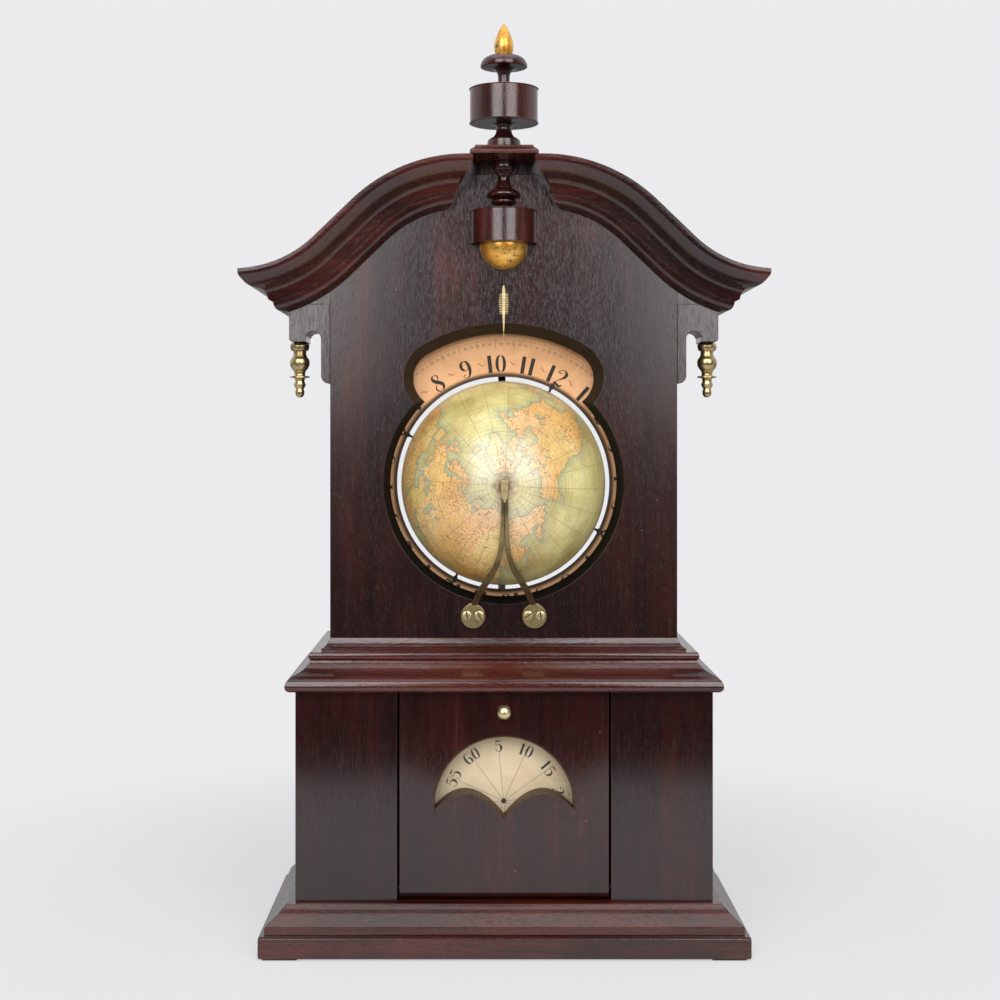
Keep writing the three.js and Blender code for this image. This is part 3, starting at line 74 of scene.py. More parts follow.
# Camera at the photograph's place: level, with its centre shifted
camera_data = bpy.data.cameras.new("studio_camera")
camera_data.lens = 57.6
camera_data.sensor_width = 36.0
camera_data.shift_x = 0.0179
camera_data.shift_y = -0.063
camera_data.clip_start = 0.02
camera = bpy.data.objects.new("studio_camera", camera_data)
camera.location = (-0.0162, -1.2315, 0.3781)
camera.rotation_euler = (math.radians(90), 0, 0)
scene.collection.objects.link(camera)
scene.camera = camera
scene.view_settings.view_transform = "Standard"


class Wire:
    """An output in a node tree; sums and products of wires add Math nodes."""

    def __init__(self, owner, socket):
        self.owner = owner
        self.socket = socket

    def math(self, operation, *others):
        return self.owner.maths(operation, self, *others)

    def __add__(self, other):
        return self.math("ADD", other)

    def __radd__(self, other):
        return self.math("ADD", other)

    def __sub__(self, other):
        return self.math("SUBTRACT", other)

    def __rsub__(self, other):
        return self.owner.maths("SUBTRACT", other, self)

    def __mul__(self, other):
        return self.math("MULTIPLY", other)

    def __rmul__(self, other):
        return self.math("MULTIPLY", other)

    def __neg__(self):
        return self.math("MULTIPLY", -1.0)

    def __gt__(self, other):
        return self.math("GREATER_THAN", other)

    def __lt__(self, other):
        return self.math("LESS_THAN", other)

    def abs(self):
        return self.math("ABSOLUTE")

    def root(self):
        return self.math("SQRT")

    def least(self, other):
        return self.math("MINIMUM", other)

    def most(self, other):
        return self.math("MAXIMUM", other)

    def wrapped(self, step):
        """Distance to the nearest multiple of step."""
        return self.math("PINGPONG", step / 2)

    def ease(self, low, high, start=0.0, end=1.0):
        """start below low, end above high and a soft step between."""
        return self.owner.node("ShaderNodeMapRange", {"interpolation_type": "SMOOTHSTEP"}, {
            "Value": self, "From Min": low, "From Max": high, "To Min": start, "To Max": end})


class Tree:
    """A node tree that is built from expressions."""

    def __init__(self, tree):
        self.tree = tree

    def feed(self, socket, value):
        if isinstance(value, Wire):
            self.tree.links.new(value.socket, socket)
        elif isinstance(value, (tuple, list)) and len(value) == 3 and len(socket.default_value) == 4:
            socket.default_value = (*value, 1.0)
        else:
            socket.default_value = value

    def node(self, kind, settings=None, inputs=None, out=0):
        made = self.tree.nodes.new(kind)
        for key, value in (settings or {}).items():
            if key == "stops":
                ramp = made.color_ramp
                while len(ramp.elements) < len(value):
                    ramp.elements.new(0.5)
                for element, (place, colour) in zip(ramp.elements, value):
                    element.position = place
                    element.color = (*colour, 1.0)
            else:
                setattr(made, key, value)
        for key, value in (inputs or {}).items():
            self.feed(made.inputs[key], value)
        return Wire(self, made.outputs[out])

    def maths(self, operation, *terms):
        return self.node("ShaderNodeMath", {"operation": operation}, dict(enumerate(terms)))

    def parts(self, place):
        made = self.tree.nodes.new("ShaderNodeSeparateXYZ")
        self.feed(made.inputs[0], place)
        return [Wire(self, made.outputs[i]) for i in range(3)]


class Finish(Tree):
    """A material with one main shader."""

    def __init__(self, name, roughness=0.5, metallic=0.0, coat=0.0, specular=0.5):
        self.material = bpy.data.materials.new(name)
        self.material.use_nodes = True
        super().__init__(self.material.node_tree)
        self.shader = self.tree.nodes["Principled BSDF"]
        self.output = self.tree.nodes["Material Output"]
        self.set("Roughness", roughness)
        self.set("Metallic", metallic)
        self.set("Coat Weight", coat)
        self.set("Specular IOR Level", specular)

    def set(self, name, value):
        self.feed(self.shader.inputs[name], value)

    def place(self):
        return self.node("ShaderNodeTexCoord", out="Object")

    def stretched(self, place, by):
        return self.node("ShaderNodeVectorMath", {"operation": "MULTIPLY"}, {0: place, 1: by})

    def shifted(self, place, by):
        return self.node("ShaderNodeVectorMath", {"operation": "ADD"}, {0: place, 1: by})

    def noise(self, place, scale, detail=2.0, rough=0.5, warp=0.0):
        return self.node("ShaderNodeTexNoise", None, {
            "Vector": place, "Scale": scale, "Detail": detail, "Roughness": rough, "Distortion": warp}, "Fac")

    def cells(self, place, scale, feature="F1", out="Distance"):
        return self.node("ShaderNodeTexVoronoi", {"feature": feature}, {"Vector": place, "Scale": scale}, out)

    def ramp(self, value, *stops):
        return self.node("ShaderNodeValToRGB", {"stops": stops}, {0: value})

    def blend(self, share, first, second):
        """first where share is nought, second where it is one."""
        return self.node("ShaderNodeMix", {"data_type": "RGBA"}, {0: share, 6: first, 7: second}, 2)

    def bump(self, height, distance, strength):
        inputs = {"Height": height, "Distance": distance, "Strength": strength}
        return self.node("ShaderNodeBump", None, inputs)

    def mixed(self, share, first, second):
        """The material shows first where share is nought, second where it is one."""
        mix = self.node("ShaderNodeMixShader", None, {0: share}).socket.node
        self.tree.links.new(first, mix.inputs[1])
        self.tree.links.new(second, mix.inputs[2])
        self.tree.links.new(mix.outputs[0], self.output.inputs[0])

    def worn_edge(self, radius):
        """One along arrises, nought on faces."""
        rounded = self.node("ShaderNodeBevel", {"samples": 6}, {"Radius": radius})
        face = self.node("ShaderNodeNewGeometry", out="Normal")
        turn = self.node("ShaderNodeVectorMath", {"operation": "DOT_PRODUCT"}, {0: rounded, 1: face}, "Value")
        return 1 - turn


# Finishes

GRAIN = {"X": (0.07, 1, 1), "Y": (1, 0.07, 1), "Z": (1, 1, 0.07)}
PORES = {"X": (0.13, 1, 1), "Y": (1, 0.13, 1), "Z": (1, 1, 0.13)}


def stained_wood(name, grain, warmth, start=0.0, wear=1.0, roughness=0.2, relief=0.5):
    """Dark red-brown stained hardwood with open pores, rubbed redder on its arrises."""
    wood = Finish(name, specular=0.74)
    place = wood.shifted(wood.place(), (start, start * 0.7, start * 1.3))
    drawn = wood.stretched(place, GRAIN[grain])
    cloud = wood.noise(place, 7, 3, 0.55)
    band = wood.noise(drawn, 42, 3, 0.5, 0.35)
    figure = wood.noise(drawn, 330, 3, 0.6, 0.2)
    streak = wood.noise(wood.stretched(place, PORES[grain]), 1400, 2, 0.6)
    pore = streak.ease(0.5, 0.66)
    redness = (band * 0.7 + figure * 0.4 + cloud * 0.75 + (warmth - 1.15)).ease(0.0, 0.75)
    base = wood.ramp(
        redness, (0.0, (0.0105, 0.0026, 0.0028)), (0.45, (0.029, 0.0050, 0.0044)),
        (1.0, (0.095, 0.016, 0.010)),
    )
    edge = (wood.worn_edge(1.2 * MM) * 5.0 * wear * cloud.ease(0.42, 0.62, 0.15, 1.0)).least(0.7)
    base = wood.blend(edge, base, (0.11, 0.026, 0.015))
    base = wood.blend(pore * 0.6, base, (0.004, 0.0016, 0.0017))
    nick = wood.cells(place, 62).ease(0.018, 0.034, 1.0, 0.0) * cloud.ease(0.46, 0.56)
    base = wood.blend(nick * 0.7, base, (0.36, 0.27, 0.22))
    wood.set("Base Color", base)
    wood.set("Roughness", roughness + figure * 0.1 + pore * 0.09 - 0.06)
    height = figure * 0.2 - streak * 0.5 - pore * 0.35
    wood.set("Normal", wood.bump(height, 0.10 * MM, relief))
    return wood.material


def blackened_wood(name, deep=(0.002, 0.0014, 0.0013), pale=(0.006, 0.004, 0.0036)):
    """Ebonised bevels round the openings, with thin paint rubbed through on the arris."""
    wood = Finish(name, roughness=0.5, specular=0.22)
    place = wood.place()
    fleck = wood.noise(place, 320, 3, 0.6)
    edge = wood.worn_edge(0.45 * MM) * 3.0
    base = wood.ramp(fleck, (0.3, deep), (0.8, pale))
    wood.set("Base Color", wood.blend((edge * fleck * 0.7).least(0.5), base, (0.13, 0.08, 0.05)))
    wood.set("Roughness", 0.42 + fleck * 0.2)
    wood.set("Normal", wood.bump(fleck, 0.06 * MM, 0.5))
    return wood.material


def plain_softwood(name, grain):
    """Unvarnished inner boards."""
    wood = Finish(name, roughness=0.7, specular=0.3)
    place = wood.place()
    drawn = wood.stretched(place, GRAIN[grain])
    ring = wood.noise(drawn, 70, 4, 0.55, 1.2)
    fibre = wood.noise(wood.stretched(place, PORES[grain]), 1200, 2, 0.5)
    base = wood.ramp(
        ring, (0.25, (0.105, 0.052, 0.026)), (0.55, (0.17, 0.092, 0.046)), (0.8, (0.125, 0.06, 0.03)),
    )
    grime = wood.noise(place, 14, 4, 0.6)
    base = wood.blend(grime.ease(0.42, 0.75) * 0.6, base, (0.05, 0.028, 0.017))
    wood.set("Base Color", wood.blend(fibre.ease(0.55, 0.7) * 0.35, base, (0.05, 0.026, 0.014)))
    wood.set("Roughness", 0.62 + fibre * 0.2)
    wood.set("Normal", wood.bump(ring * 0.5 + fibre * 0.6, 0.1 * MM, 0.6))
    return wood.material


def aged_brass(name, tone, dull=0.0):
    """Lacquered brass, bright on arrises, browned in mottled patches."""
    metal = Finish(name, roughness=0.24, metallic=1.0)
    place = metal.place()
    mottle = metal.noise(place, 130, 4, 0.6)
    scratch = metal.noise(metal.stretched(place, (1, 1, 9)), 500, 2, 0.5)
    edge = (metal.worn_edge(0.5 * MM) * 4.0).least(1.0)
    dark = (tone[0] * 0.45, tone[1] * 0.4, tone[2] * 0.35)
    base = metal.blend((mottle.ease(0.45, 0.7) * 0.7 + dull).least(1.0), tone, dark)
    base = metal.blend(edge * 0.7, base, (0.85, 0.68, 0.38))
    metal.set("Base Color", base)
    metal.set("Roughness", 0.2 + mottle * 0.18 + scratch * 0.06 + dull * 0.12)
    metal.set("Normal", metal.bump(mottle + scratch * 0.4, 0.03 * MM, 0.4))
    return metal.material


def worn_gilding(name):
    """Old gilding on turned wood, rubbed to orange bole and dark wood in lines."""
    gold = Finish(name, roughness=0.35, metallic=0.6, coat=0.3)
    place = gold.place()
    fleck = gold.noise(place, 300, 5, 0.7, 0.3)
    cloud = gold.noise(place, 90, 3, 0.6)
    turn_line = gold.noise(gold.stretched(place, (0.15, 0.15, 1)), 700, 3, 0.6)
    worn = (fleck * 0.55 + cloud * 0.35 + turn_line * 0.14).ease(0.54, 0.61)
    base = gold.ramp(cloud, (0.3, (0.62, 0.20, 0.02)), (0.5, (0.88, 0.46, 0.07)), (0.7, (0.95, 0.62, 0.18)))
    edge = (gold.worn_edge(0.8 * MM) * 4).least(1.0)
    gold.set("Base Color", gold.blend((worn + edge * 0.5).least(1.0) * 0.9, base, (0.07, 0.022, 0.008)))
    gold.set("Metallic", 0.62 - worn * 0.6)
    gold.set("Roughness", 0.3 + worn * 0.25)
    gold.set("Normal", gold.bump(turn_line - worn * 0.4, 0.06 * MM, 0.5))
    return gold.material


def dark_iron(name):
    """Blackened iron, mottled with a little rust brown."""
    metal = Finish(name, roughness=0.45, metallic=0.8)
    place = metal.place()
    mottle = metal.noise(place, 260, 4, 0.6)
    metal.set("Base Color", metal.ramp(mottle, (0.3, (0.018, 0.017, 0.016)), (0.75, (0.06, 0.05, 0.042))))
    metal.set("Roughness", 0.36 + mottle * 0.25)
    metal.set("Normal", metal.bump(mottle, 0.04 * MM, 0.5))
    return metal.material


def pressed_leather(name):
    """Dark pebbled leather under the slab."""
    hide = Finish(name, roughness=0.7, specular=0.3)
    place = hide.place()
    pebble = hide.cells(place, 900)
    hide.set("Base Color", hide.ramp(pebble, (0.0, (0.014, 0.011, 0.010)), (0.7, (0.034, 0.026, 0.022))))
    hide.set("Roughness", 0.62 + pebble * 0.15)
    hide.set("Normal", hide.bump(pebble, 0.08 * MM, 0.6))
    return hide.material


def printed_paper(name, tone, stain, radius, centre, rim, bore=0.0):
    """Old paper on a disc: browned towards its rim, foxed, faintly fibrous, with painted shade beside a bore.
    """
    paper = Finish(name, roughness=0.6, specular=0.3)
    place = paper.place()
    x, _, z = paper.parts(place)
    reach = (x * x + (z - centre) * (z - centre)).root()
    cloud = paper.noise(place, 42, 4, 0.6, 0.5)
    fibre = paper.noise(place, 1500, 2, 0.5)
    foxing = paper.noise(place, 160, 3, 0.7).ease(0.62, 0.74)
    browned = cloud.ease(0.42, 0.72) * 0.45 + reach.ease(radius * 0.93, radius) * rim + foxing * 0.3
    base = paper.blend(browned.least(1.0), tone, stain)
    base = paper.blend(fibre * 0.12, base, stain)
    if bore:
        # Painted shade: the paper is darkened all round the bore, standing in for the shadow of the panel's
        # reveal and the globe.
        dark = reach.ease(bore + 1.4 * MM, bore + 4.6 * MM, 0.96, 0.0)
        base = paper.blend(dark, base, (0.05, 0.024, 0.012))
    paper.set("Base Color", base)
    paper.set("Roughness", 0.52 + cloud * 0.15)
    paper.set("Normal", paper.bump(fibre + cloud, 0.03 * MM, 0.4))
    return paper.material


def printing_ink(name, black, worn):
    """Ink from its full tone to where it has rubbed thin."""
    ink = Finish(name, roughness=0.6, specular=0.3)
    fade = ink.noise(ink.place(), 420, 3, 0.6)
    ink.set("Base Color", ink.ramp(fade, (0.35, black), (0.75, worn)))
    ink.set("Roughness", 0.5 + fade * 0.2)
    return ink.material


def old_pane(name):
    """Thin clear glass: what is behind shows, and the surface mirrors a little."""
    pane = Finish(name, roughness=0.03)
    wave = pane.noise(pane.place(), 22, 2, 0.5)
    pane.set("Base Color", (0.8, 0.82, 0.78))
    pane.set("Normal", pane.bump(wave, 0.25 * MM, 0.3))
    clear = pane.node("ShaderNodeBsdfTransparent", None, {"Color": (0.99, 0.99, 0.985)})
    share = pane.node("ShaderNodeFresnel", None, {"IOR": 1.45})
    pane.mixed((share * 0.9).least(0.6), clear.socket, pane.shader.outputs[0])
    return pane.material


upright_wood = stained_wood("upright_case_wood", "Z", warmth=0.42, roughness=0.14, relief=0.2)
door_wood = stained_wood("door_case_wood", "Z", warmth=0.48, start=0.31, roughness=0.13, relief=0.2)
panel_wood = stained_wood("panel_case_wood", "Z", warmth=0.46, start=0.83, relief=0.28)
level_wood = stained_wood("level_case_wood", "X", warmth=0.66, start=0.12)
moulding_wood = stained_wood("moulding_case_wood", "X", warmth=0.70, start=0.47, wear=1.6, roughness=0.13,
                             relief=0.3)
cornice_wood = stained_wood("cornice_case_wood", "X", warmth=0.64, start=0.65, relief=0.4)
return_wood = stained_wood("return_case_wood", "Y", warmth=0.6, start=0.22, relief=0.4)
turned_wood = stained_wood("turned_case_wood", "Z", warmth=0.62, start=0.91, relief=0.3)
reveal_black = blackened_wood("blackened_reveal")
window_edge = blackened_wood("browned_window_edge", (0.05, 0.028, 0.014), (0.13, 0.08, 0.04))
inner_wood = plain_softwood("inner_level_softwood", "X")
brass = aged_brass("aged_brass", (0.54, 0.42, 0.22))
fork_brass = aged_brass("fork_brass", (0.48, 0.38, 0.19), dull=0.05)
# A darker copy of the fork's brass: painted dark reflection on the arms' outer faces.
arm_brass_painted_dark = aged_brass("arm_brass_painted_dark", (0.32, 0.25, 0.12), dull=0.12)
bright_brass = aged_brass("bright_brass", (0.78, 0.62, 0.34))
plate_brass = aged_brass("plate_brass", (0.60, 0.46, 0.2), dull=0.1)
gilding = worn_gilding("worn_gilding")
iron = dark_iron("dark_iron")
leather = pressed_leather("pad_leather")
hour_paper = printed_paper("hour_ring_paper", (0.82, 0.46, 0.235), (0.55, 0.26, 0.10), ring_radius,
                           globe_height, 0.5, RING_BORE)
minute_paper = printed_paper("minute_disc_paper", (0.84, 0.69, 0.49), (0.62, 0.42, 0.18), disc_radius,
                             minute_height, 0.9)
ink = printing_ink("printing_ink", (0.014, 0.012, 0.011), (0.06, 0.042, 0.03))
faded_ink = printing_ink("faded_ink", (0.20, 0.105, 0.055), (0.42, 0.24, 0.12))
pane_glass = old_pane("old_pane")


# Mesh helpers

WELD = 0.001 * MM


def stood(name, data):
    """A new object for a mesh, light or camera, in the scene."""
    made = bpy.data.objects.new(name, data)
    scene.collection.objects.link(made)
    return made


def reworked(mesh, *steps):
    """Each step changes the mesh by way of bmesh."""
    build = bmesh.new()
    build.from_mesh(mesh)
    for step in steps:
        step(build)
    build.to_mesh(mesh)
    build.free()


def mesh_of(name, verts, faces):
    mesh = bpy.data.meshes.new(name)
    mesh.from_pydata([tuple(v) for v in verts], [], faces)
    return mesh


def skin(rings, ends=True, closed=False):
    """Points and faces of a skin through rings of as many points; closed joins the last ring to the first."""
    n = len(rings[0])
    faces = []
    for i in range(len(rings) if closed else len(rings) - 1):
        a, b = i * n, (i + 1) % len(rings) * n
        for j in range(n):
            k = (j + 1) % n
            faces.append((a + j, a + k, b + k, b + j))
    if ends and not closed:
        faces.append(tuple(range(n)))
        faces.append(tuple(reversed(range((len(rings) - 1) * n, len(rings) * n))))
    return [point for ring in rings for point in ring], faces


def welded(build):
    bmesh.ops.remove_doubles(build, verts=build.verts, dist=WELD)
    bmesh.ops.dissolve_degenerate(build, edges=build.edges, dist=WELD / 10)


def turned_out(build):
    bmesh.ops.recalc_face_normals(build, faces=build.faces)


def piece(name, verts, faces, material, body="case", smooth=35, replaces=()):
    """A mesh from points and faces that rides on a body; arrises sharper than smooth degrees stay crisp."""
    mesh = mesh_of(name, verts, faces)
    reworked(mesh, welded, turned_out, crisp(smooth))
    made = stood(name, mesh)
    for one in material if isinstance(material, list) else [material]:
        mesh.materials.append(one)
    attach(made, body)
    if replaces:
        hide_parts(*replaces)
    return made


def crisp(smooth):
    """A step that shades a mesh smooth, save for arrises sharper than smooth degrees."""
    def shade(build):
        for face in build.faces:
            face.smooth = True
        for edge in build.edges:
            edge.smooth = len(edge.link_faces) == 2 and edge.calc_face_angle(0) < math.radians(smooth)
    return shade


def faired(points, steps, corner):
    """A smooth curve through the points, in so many steps each; corners sharper than corner degrees stay."""
    pts = [Vector(p) for p in points]
    count = len(pts)

    def turn(i):
        a = pts[i] - pts[i - 1]
        b = pts[(i + 1) % count] - pts[i]
        if a.length < 1e-9 or b.length < 1e-9:
            return 180.0
        return math.degrees(a.angle(b))

    keep = {0, count - 1} | {i for i in range(1, count - 1) if turn(i) > corner}
    out = []
    for i in range(count - 1):
        p1, p2 = pts[i], pts[i + 1]
        p0 = pts[i - 1] if i not in keep else p1 + (p1 - p2)
        p3 = pts[i + 2] if (i + 1) not in keep else p2 + (p2 - p1)
        if i in keep and (i + 1) in keep:
            out.append(p1)
            continue
        for s in range(steps):
            t = s / steps
            out.append(0.5 * ((2 * p1) + (p2 - p0) * t + (2 * p0 - 5 * p1 + 4 * p2 - p3) * t * t
                              + (3 * p1 - p0 - 3 * p2 + p3) * t ** 3))
    out.append(pts[-1])
    return [tuple(p) for p in out]


def turned(name, shares, radius, height, centre, material, replaces, sides, half=False, body="case"):
    """A turned piece about an upright axis; half leaves the front half with a flat back."""
    outline = faired(shares, steps=4, corner=38)
    span = math.pi if half else 2 * math.pi
    columns = sides // 2 + 1 if half else sides
    verts, faces = [], []
    for i in range(columns):
        angle = math.pi + span * i / (columns - 1 if half else columns)
        for r, z in outline:
            reach = max(r, 0.0) * radius
            verts.append((centre[0] + reach * math.cos(angle), centre[1] + reach * math.sin(angle),
                          centre[2] + z * height))
    n = len(outline)
    for i in range(columns - 1 if half else columns):
        a, b = i * n, ((i + 1) % columns) * n
        for j in range(n - 1):
            faces.append((a + j, a + j + 1, b + j + 1, b + j))
    if half:
        faces.append(tuple(range(n)) + tuple(reversed(range((columns - 1) * n, columns * n))))
    return piece(name, verts, faces, material, body, 35, replaces)


def faced(made, place, turn=0):
    """A piece turned about Z is laid to face the front at a place."""
    lay = Matrix.Rotation(math.radians(turn), 4, "Y") @ Matrix.Rotation(math.pi / 2, 4, "X")
    made.data.transform(Matrix.Translation(place) @ lay)


def sweep(name, rings, material, replaces=(), body="case", ends=True, closed=False, smooth=35):
    """A piece whose skin goes through rings of as many points."""
    verts, faces = skin(rings, ends, closed)
    return piece(name, verts, faces, material, body, smooth, replaces)


def between(outline, y0, y1):
    """An outline in X and Z, at two depths."""
    return [[(x, y, z) for x, z in outline] for y in (y0, y1)]


def flat_board(name, outline, y0, y1, material, replaces=(), body="case", bevel=0.4 * MM, smooth=35):
    """An outline in X and Z with thickness, its arrises eased."""
    made = sweep(name, between(outline, y0, y1), material, replaces, body, smooth=smooth)
    if bevel:
        ease(made, bevel)
    return made


def first_in_front(made, limit):
    """Faces that look to the front take the first material, the rest the second."""
    for face in made.data.polygons:
        face.material_index = int(face.normal.y >= limit)


def in_mm(points):
    """Points in millimetres, as metres."""
    return [(x * MM, z * MM) for x, z in points]


def swung(x, z, clockwise):
    """A point turned about the middle, clockwise as the front is seen."""
    angle = math.radians(clockwise)
    return x * math.cos(angle) + z * math.sin(angle), z * math.cos(angle) - x * math.sin(angle)


def middle_of(node):
    """The middle of a CAD node's box, in X and Y."""
    low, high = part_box(node)
    return (low.x + high.x) / 2, (low.y + high.y) / 2


def turning(name, shares, radius, node, centre, material, sides, half=False):
    """A turned piece as high as its CAD node."""
    low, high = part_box(node)
    foot = (*centre, low.z)
    return turned(name, shares, radius, high.z - low.z, foot, material, (node,), sides, half)


def small_turning(name, shares, radius, height, sides, replaces=(), body="case"):
    """A bright brass turning at the origin, to be laid to the front by faced."""
    return turned(name, shares, radius, height, (0, 0, 0), bright_brass, replaces, sides, body=body)


def brass_board(name, outline, front, back, bevel, replaces=()):
    """A brass piece cut from sheet; its outline is in millimetres."""
    flat_board(name, in_mm(outline), front, back, bright_brass, replaces, bevel=bevel)


def ease(made, width, segments=2, limit=40):
    """Rounds arrises sharper than limit degrees."""
    edge = made.modifiers.new("eased_arris", "BEVEL")
    edge.width = width
    edge.segments = segments
    edge.limit_method = "ANGLE"
    edge.angle_limit = math.radians(limit)
    edge.harden_normals = True


def carved(made, *cutters):
    """The piece with the cutters taken out of it, as one plain mesh."""
    for cutter in cutters:
        hollow = made.modifiers.new("opening", "BOOLEAN")
        hollow.operation = "DIFFERENCE"
        hollow.solver = "EXACT"
        hollow.object = cutter
    bpy.context.view_layer.update()
    result = bpy.data.meshes.new_from_object(made.evaluated_get(bpy.context.evaluated_depsgraph_get()))
    made.modifiers.clear()
    old = made.data
    made.data = result
    bpy.data.meshes.remove(old)
    for cutter in cutters:
        mesh = cutter.data
        bpy.data.objects.remove(cutter)
        bpy.data.meshes.remove(mesh)


def cutter(name, rings):
    """A loose body for cutting, not part of the clock."""
    mesh = mesh_of(name, *skin(rings))
    reworked(mesh, turned_out)
    return stood(name, mesh)


def arc(cx, cz, radius, start, end, steps):
    """Points on an arc in X and Z; angles in degrees, anticlockwise from +X."""
    angles = [math.radians(start + (end - start) * i / steps) for i in range(steps + 1)]
    return [(cx + radius * math.cos(a), cz + radius * math.sin(a)) for a in angles]


def circle_at(y, radius, height, sides):
    """Points round a circle in X and Z, at one depth."""
    angles = [2 * math.pi * i / sides for i in range(sides)]
    return [(radius * math.cos(a), y, height + radius * math.sin(a)) for a in angles]


def dress(material, *names, edge=0.5 * MM):
    """The carried CAD nodes get their finish and slightly eased arrises."""
    for name in names:
        node = nodes[name]
        node.data.materials.clear()
        node.data.materials.append(material)
        if edge:
            join = node.modifiers.new("joined_points", "WELD")
            join.merge_threshold = WELD
            ease(node, edge)


# Carcase boards keep their CAD shape

dress(level_wood, "slab", edge=0.9 * MM)
dress(leather, "pad_front_left", "pad_front_right", "pad_rear_left", "pad_rear_right", edge=0.3 * MM)
dress(upright_wood, "stile_left", "stile_right", "lower_side_left", "lower_side_right",
      "upper_side_left", "upper_side_right", edge=0.7 * MM)
dress(inner_wood, "lower_back", "base_back_rail", "deck", "back_rail_lower", "back_rail_upper", "seat_board")
dress(plate_brass, "front_plate", "back_plate", "escapement_drum", edge=0.25 * MM)
dress(brass, "globe_arbor", "drive_shaft", "shaft_foot", "minute_arbor", "spring_barrel",
      "intermediate_wheel", "third_arbor", edge=0)
dress(iron, "rear_strap", "door_pin_left", "door_pin_right", edge=0.2 * MM)
dress(pane_glass, "door_glass", edge=0)


# Mouldings with their curves faired

BASE_SHARES = [
    (1, 0), (1, 0.275), (0.945, 0.335), (0.77, 0.49), (0.58, 0.665), (0.42, 0.845), (0.3, 0.95), (0.3, 1),
]
WAIST_LOWER_SHARES = [
    (0.915, 0), (0.985, 0.08), (1, 0.21), (0.96, 0.38), (0.866, 0.5), (0.745, 0.59), (0.64, 0.67),
    (0.572, 0.735), (0.497, 0.84), (0.435, 0.93), (0.42, 1),
]
WAIST_UPPER_SHARES = [
    (0.88, 0), (0.97, 0.1), (1, 0.22), (0.98, 0.32), (0.925, 0.405), (0.41, 0.405), (0.41, 0.52),
    (0.245, 0.6), (0.12, 0.76), (0, 1),
]
CORNICE_SHARES = [
    (0, 0), (0.116, 0.045), (0.217, 0.087), (0.268, 0.135), (0.304, 0.216), (0.315, 0.279),
    (0.408, 0.333), (0.432, 0.429), (0.458, 0.498), (0.528, 0.561), (0.61, 0.594),
    (0.714, 0.627), (0.827, 0.688), (0.914, 0.778), (0.988, 0.88), (1, 1),
]


def mitred_run(stem, outline, half, front, front_finish, side_finish):
    """A moulding along the front and both sides: outline as reach and height in metres."""
    for side, word in ((1, "right"), (-1, "left")):
        rings = [[(side * (half + r), front - r + MITRE_GAP, z) for r, z in outline],
                 [(side * (half + r), back_face, z) for r, z in outline]]
        run = sweep(f"{stem}_{word}_run", rings, side_finish, (f"{stem}_{word}",))
        ease(run, 0.25 * MM, segments=1, limit=50)
    rings = [[(side * (half + r - MITRE_GAP), front - r, z) for r, z in outline] for side in (-1, 1)]
    run = sweep(f"{stem}_front_run", rings, front_finish, (f"{stem}_front",))
    ease(run, 0.25 * MM, segments=1, limit=50)


def tier(shares, reach, foot, height, corner):
    """A faired outline of a moulding's tier, from its shares of reach and height."""
    return faired([(r * reach, foot + h * height) for r, h in shares], steps=5, corner=corner)


low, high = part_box("base_moulding_front")
base_inset = 15 * MM
base_outline = tier(BASE_SHARES, 20.2 * MM, low.z, high.z - low.z, 30)
base_outline = [(-base_inset, low.z)] + base_outline + [(-base_inset, high.z)]
mitred_run("base_moulding", base_outline, lower_half, case_front, moulding_wood, return_wood)

low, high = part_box("waist_moulding_front")
lower_tier = 21.2 * MM
lower_part = tier(WAIST_LOWER_SHARES, 30.6 * MM, low.z, lower_tier, 34)
upper_part = tier(WAIST_UPPER_SHARES, 14.7 * MM, low.z + lower_tier, 15.3 * MM, 34)
waist_outline = [(GLUE, low.z)] + lower_part + upper_part[:-1] + [(GLUE, high.z)]
mitred_run("waist_moulding", waist_outline, upper_half, panel_front, moulding_wood, return_wood)


# The serpentine head line: a flat apex, a hump, a straight slope and a hollow tail

HEAD = {"top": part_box("roof")[1].z, "apex": 28.2 * MM, "hump": 120.4 * MM, "slope": math.radians(43.9),
        "run": 38.4 * MM, "tail": 84.3 * MM, "end": math.radians(2)}
# The cornice's band and reach, where its inner end starts and how far that end returns
BAND, REACH, INNER_START, INNER_RETURN = 35.2 * MM, 33.6 * MM, 22.9 * MM, 19.5 * MM


def head_curve():
    """Points and outward normals from the middle outwards."""
    h = HEAD
    steps = 40
    line = [(0.0, h["top"], 0.0, 1.0)]
    base = h["top"] - h["hump"]
    for i in range(steps + 1):
        lean = h["slope"] * i / steps
        sine, cosine = math.sin(lean), math.cos(lean)
        line.append((h["apex"] + h["hump"] * sine, base + h["hump"] * cosine, sine, cosine))
    toe_x = line[-1][0] + h["run"] * math.cos(h["slope"])
    toe_z = line[-1][1] - h["run"] * math.sin(h["slope"])
    centre_x = toe_x + h["tail"] * math.sin(h["slope"])
    centre_z = toe_z + h["tail"] * math.cos(h["slope"])
    for i in range(steps + 1):
        lean = h["slope"] + (h["end"] - h["slope"]) * i / steps
        sine, cosine = math.sin(lean), math.cos(lean)
        line.append((centre_x - h["tail"] * sine, centre_z - h["tail"] * cosine, sine, cosine))
    line.append((centre_x + h["tail"], centre_z - h["tail"] * math.cos(h["end"]), 0.0, 1.0))
    return np.array(line)


HEAD_LINE = head_curve()


def head_heights(depth, xs):
    """Height of the head line, set in by a depth, over each X."""
    px = HEAD_LINE[:, 0] - HEAD_LINE[:, 2] * depth
    pz = HEAD_LINE[:, 1] - HEAD_LINE[:, 3] * depth
    keep = np.concatenate(([True], np.diff(np.maximum.accumulate(px)) > 0))
    return np.interp(xs, px[keep], pz[keep])


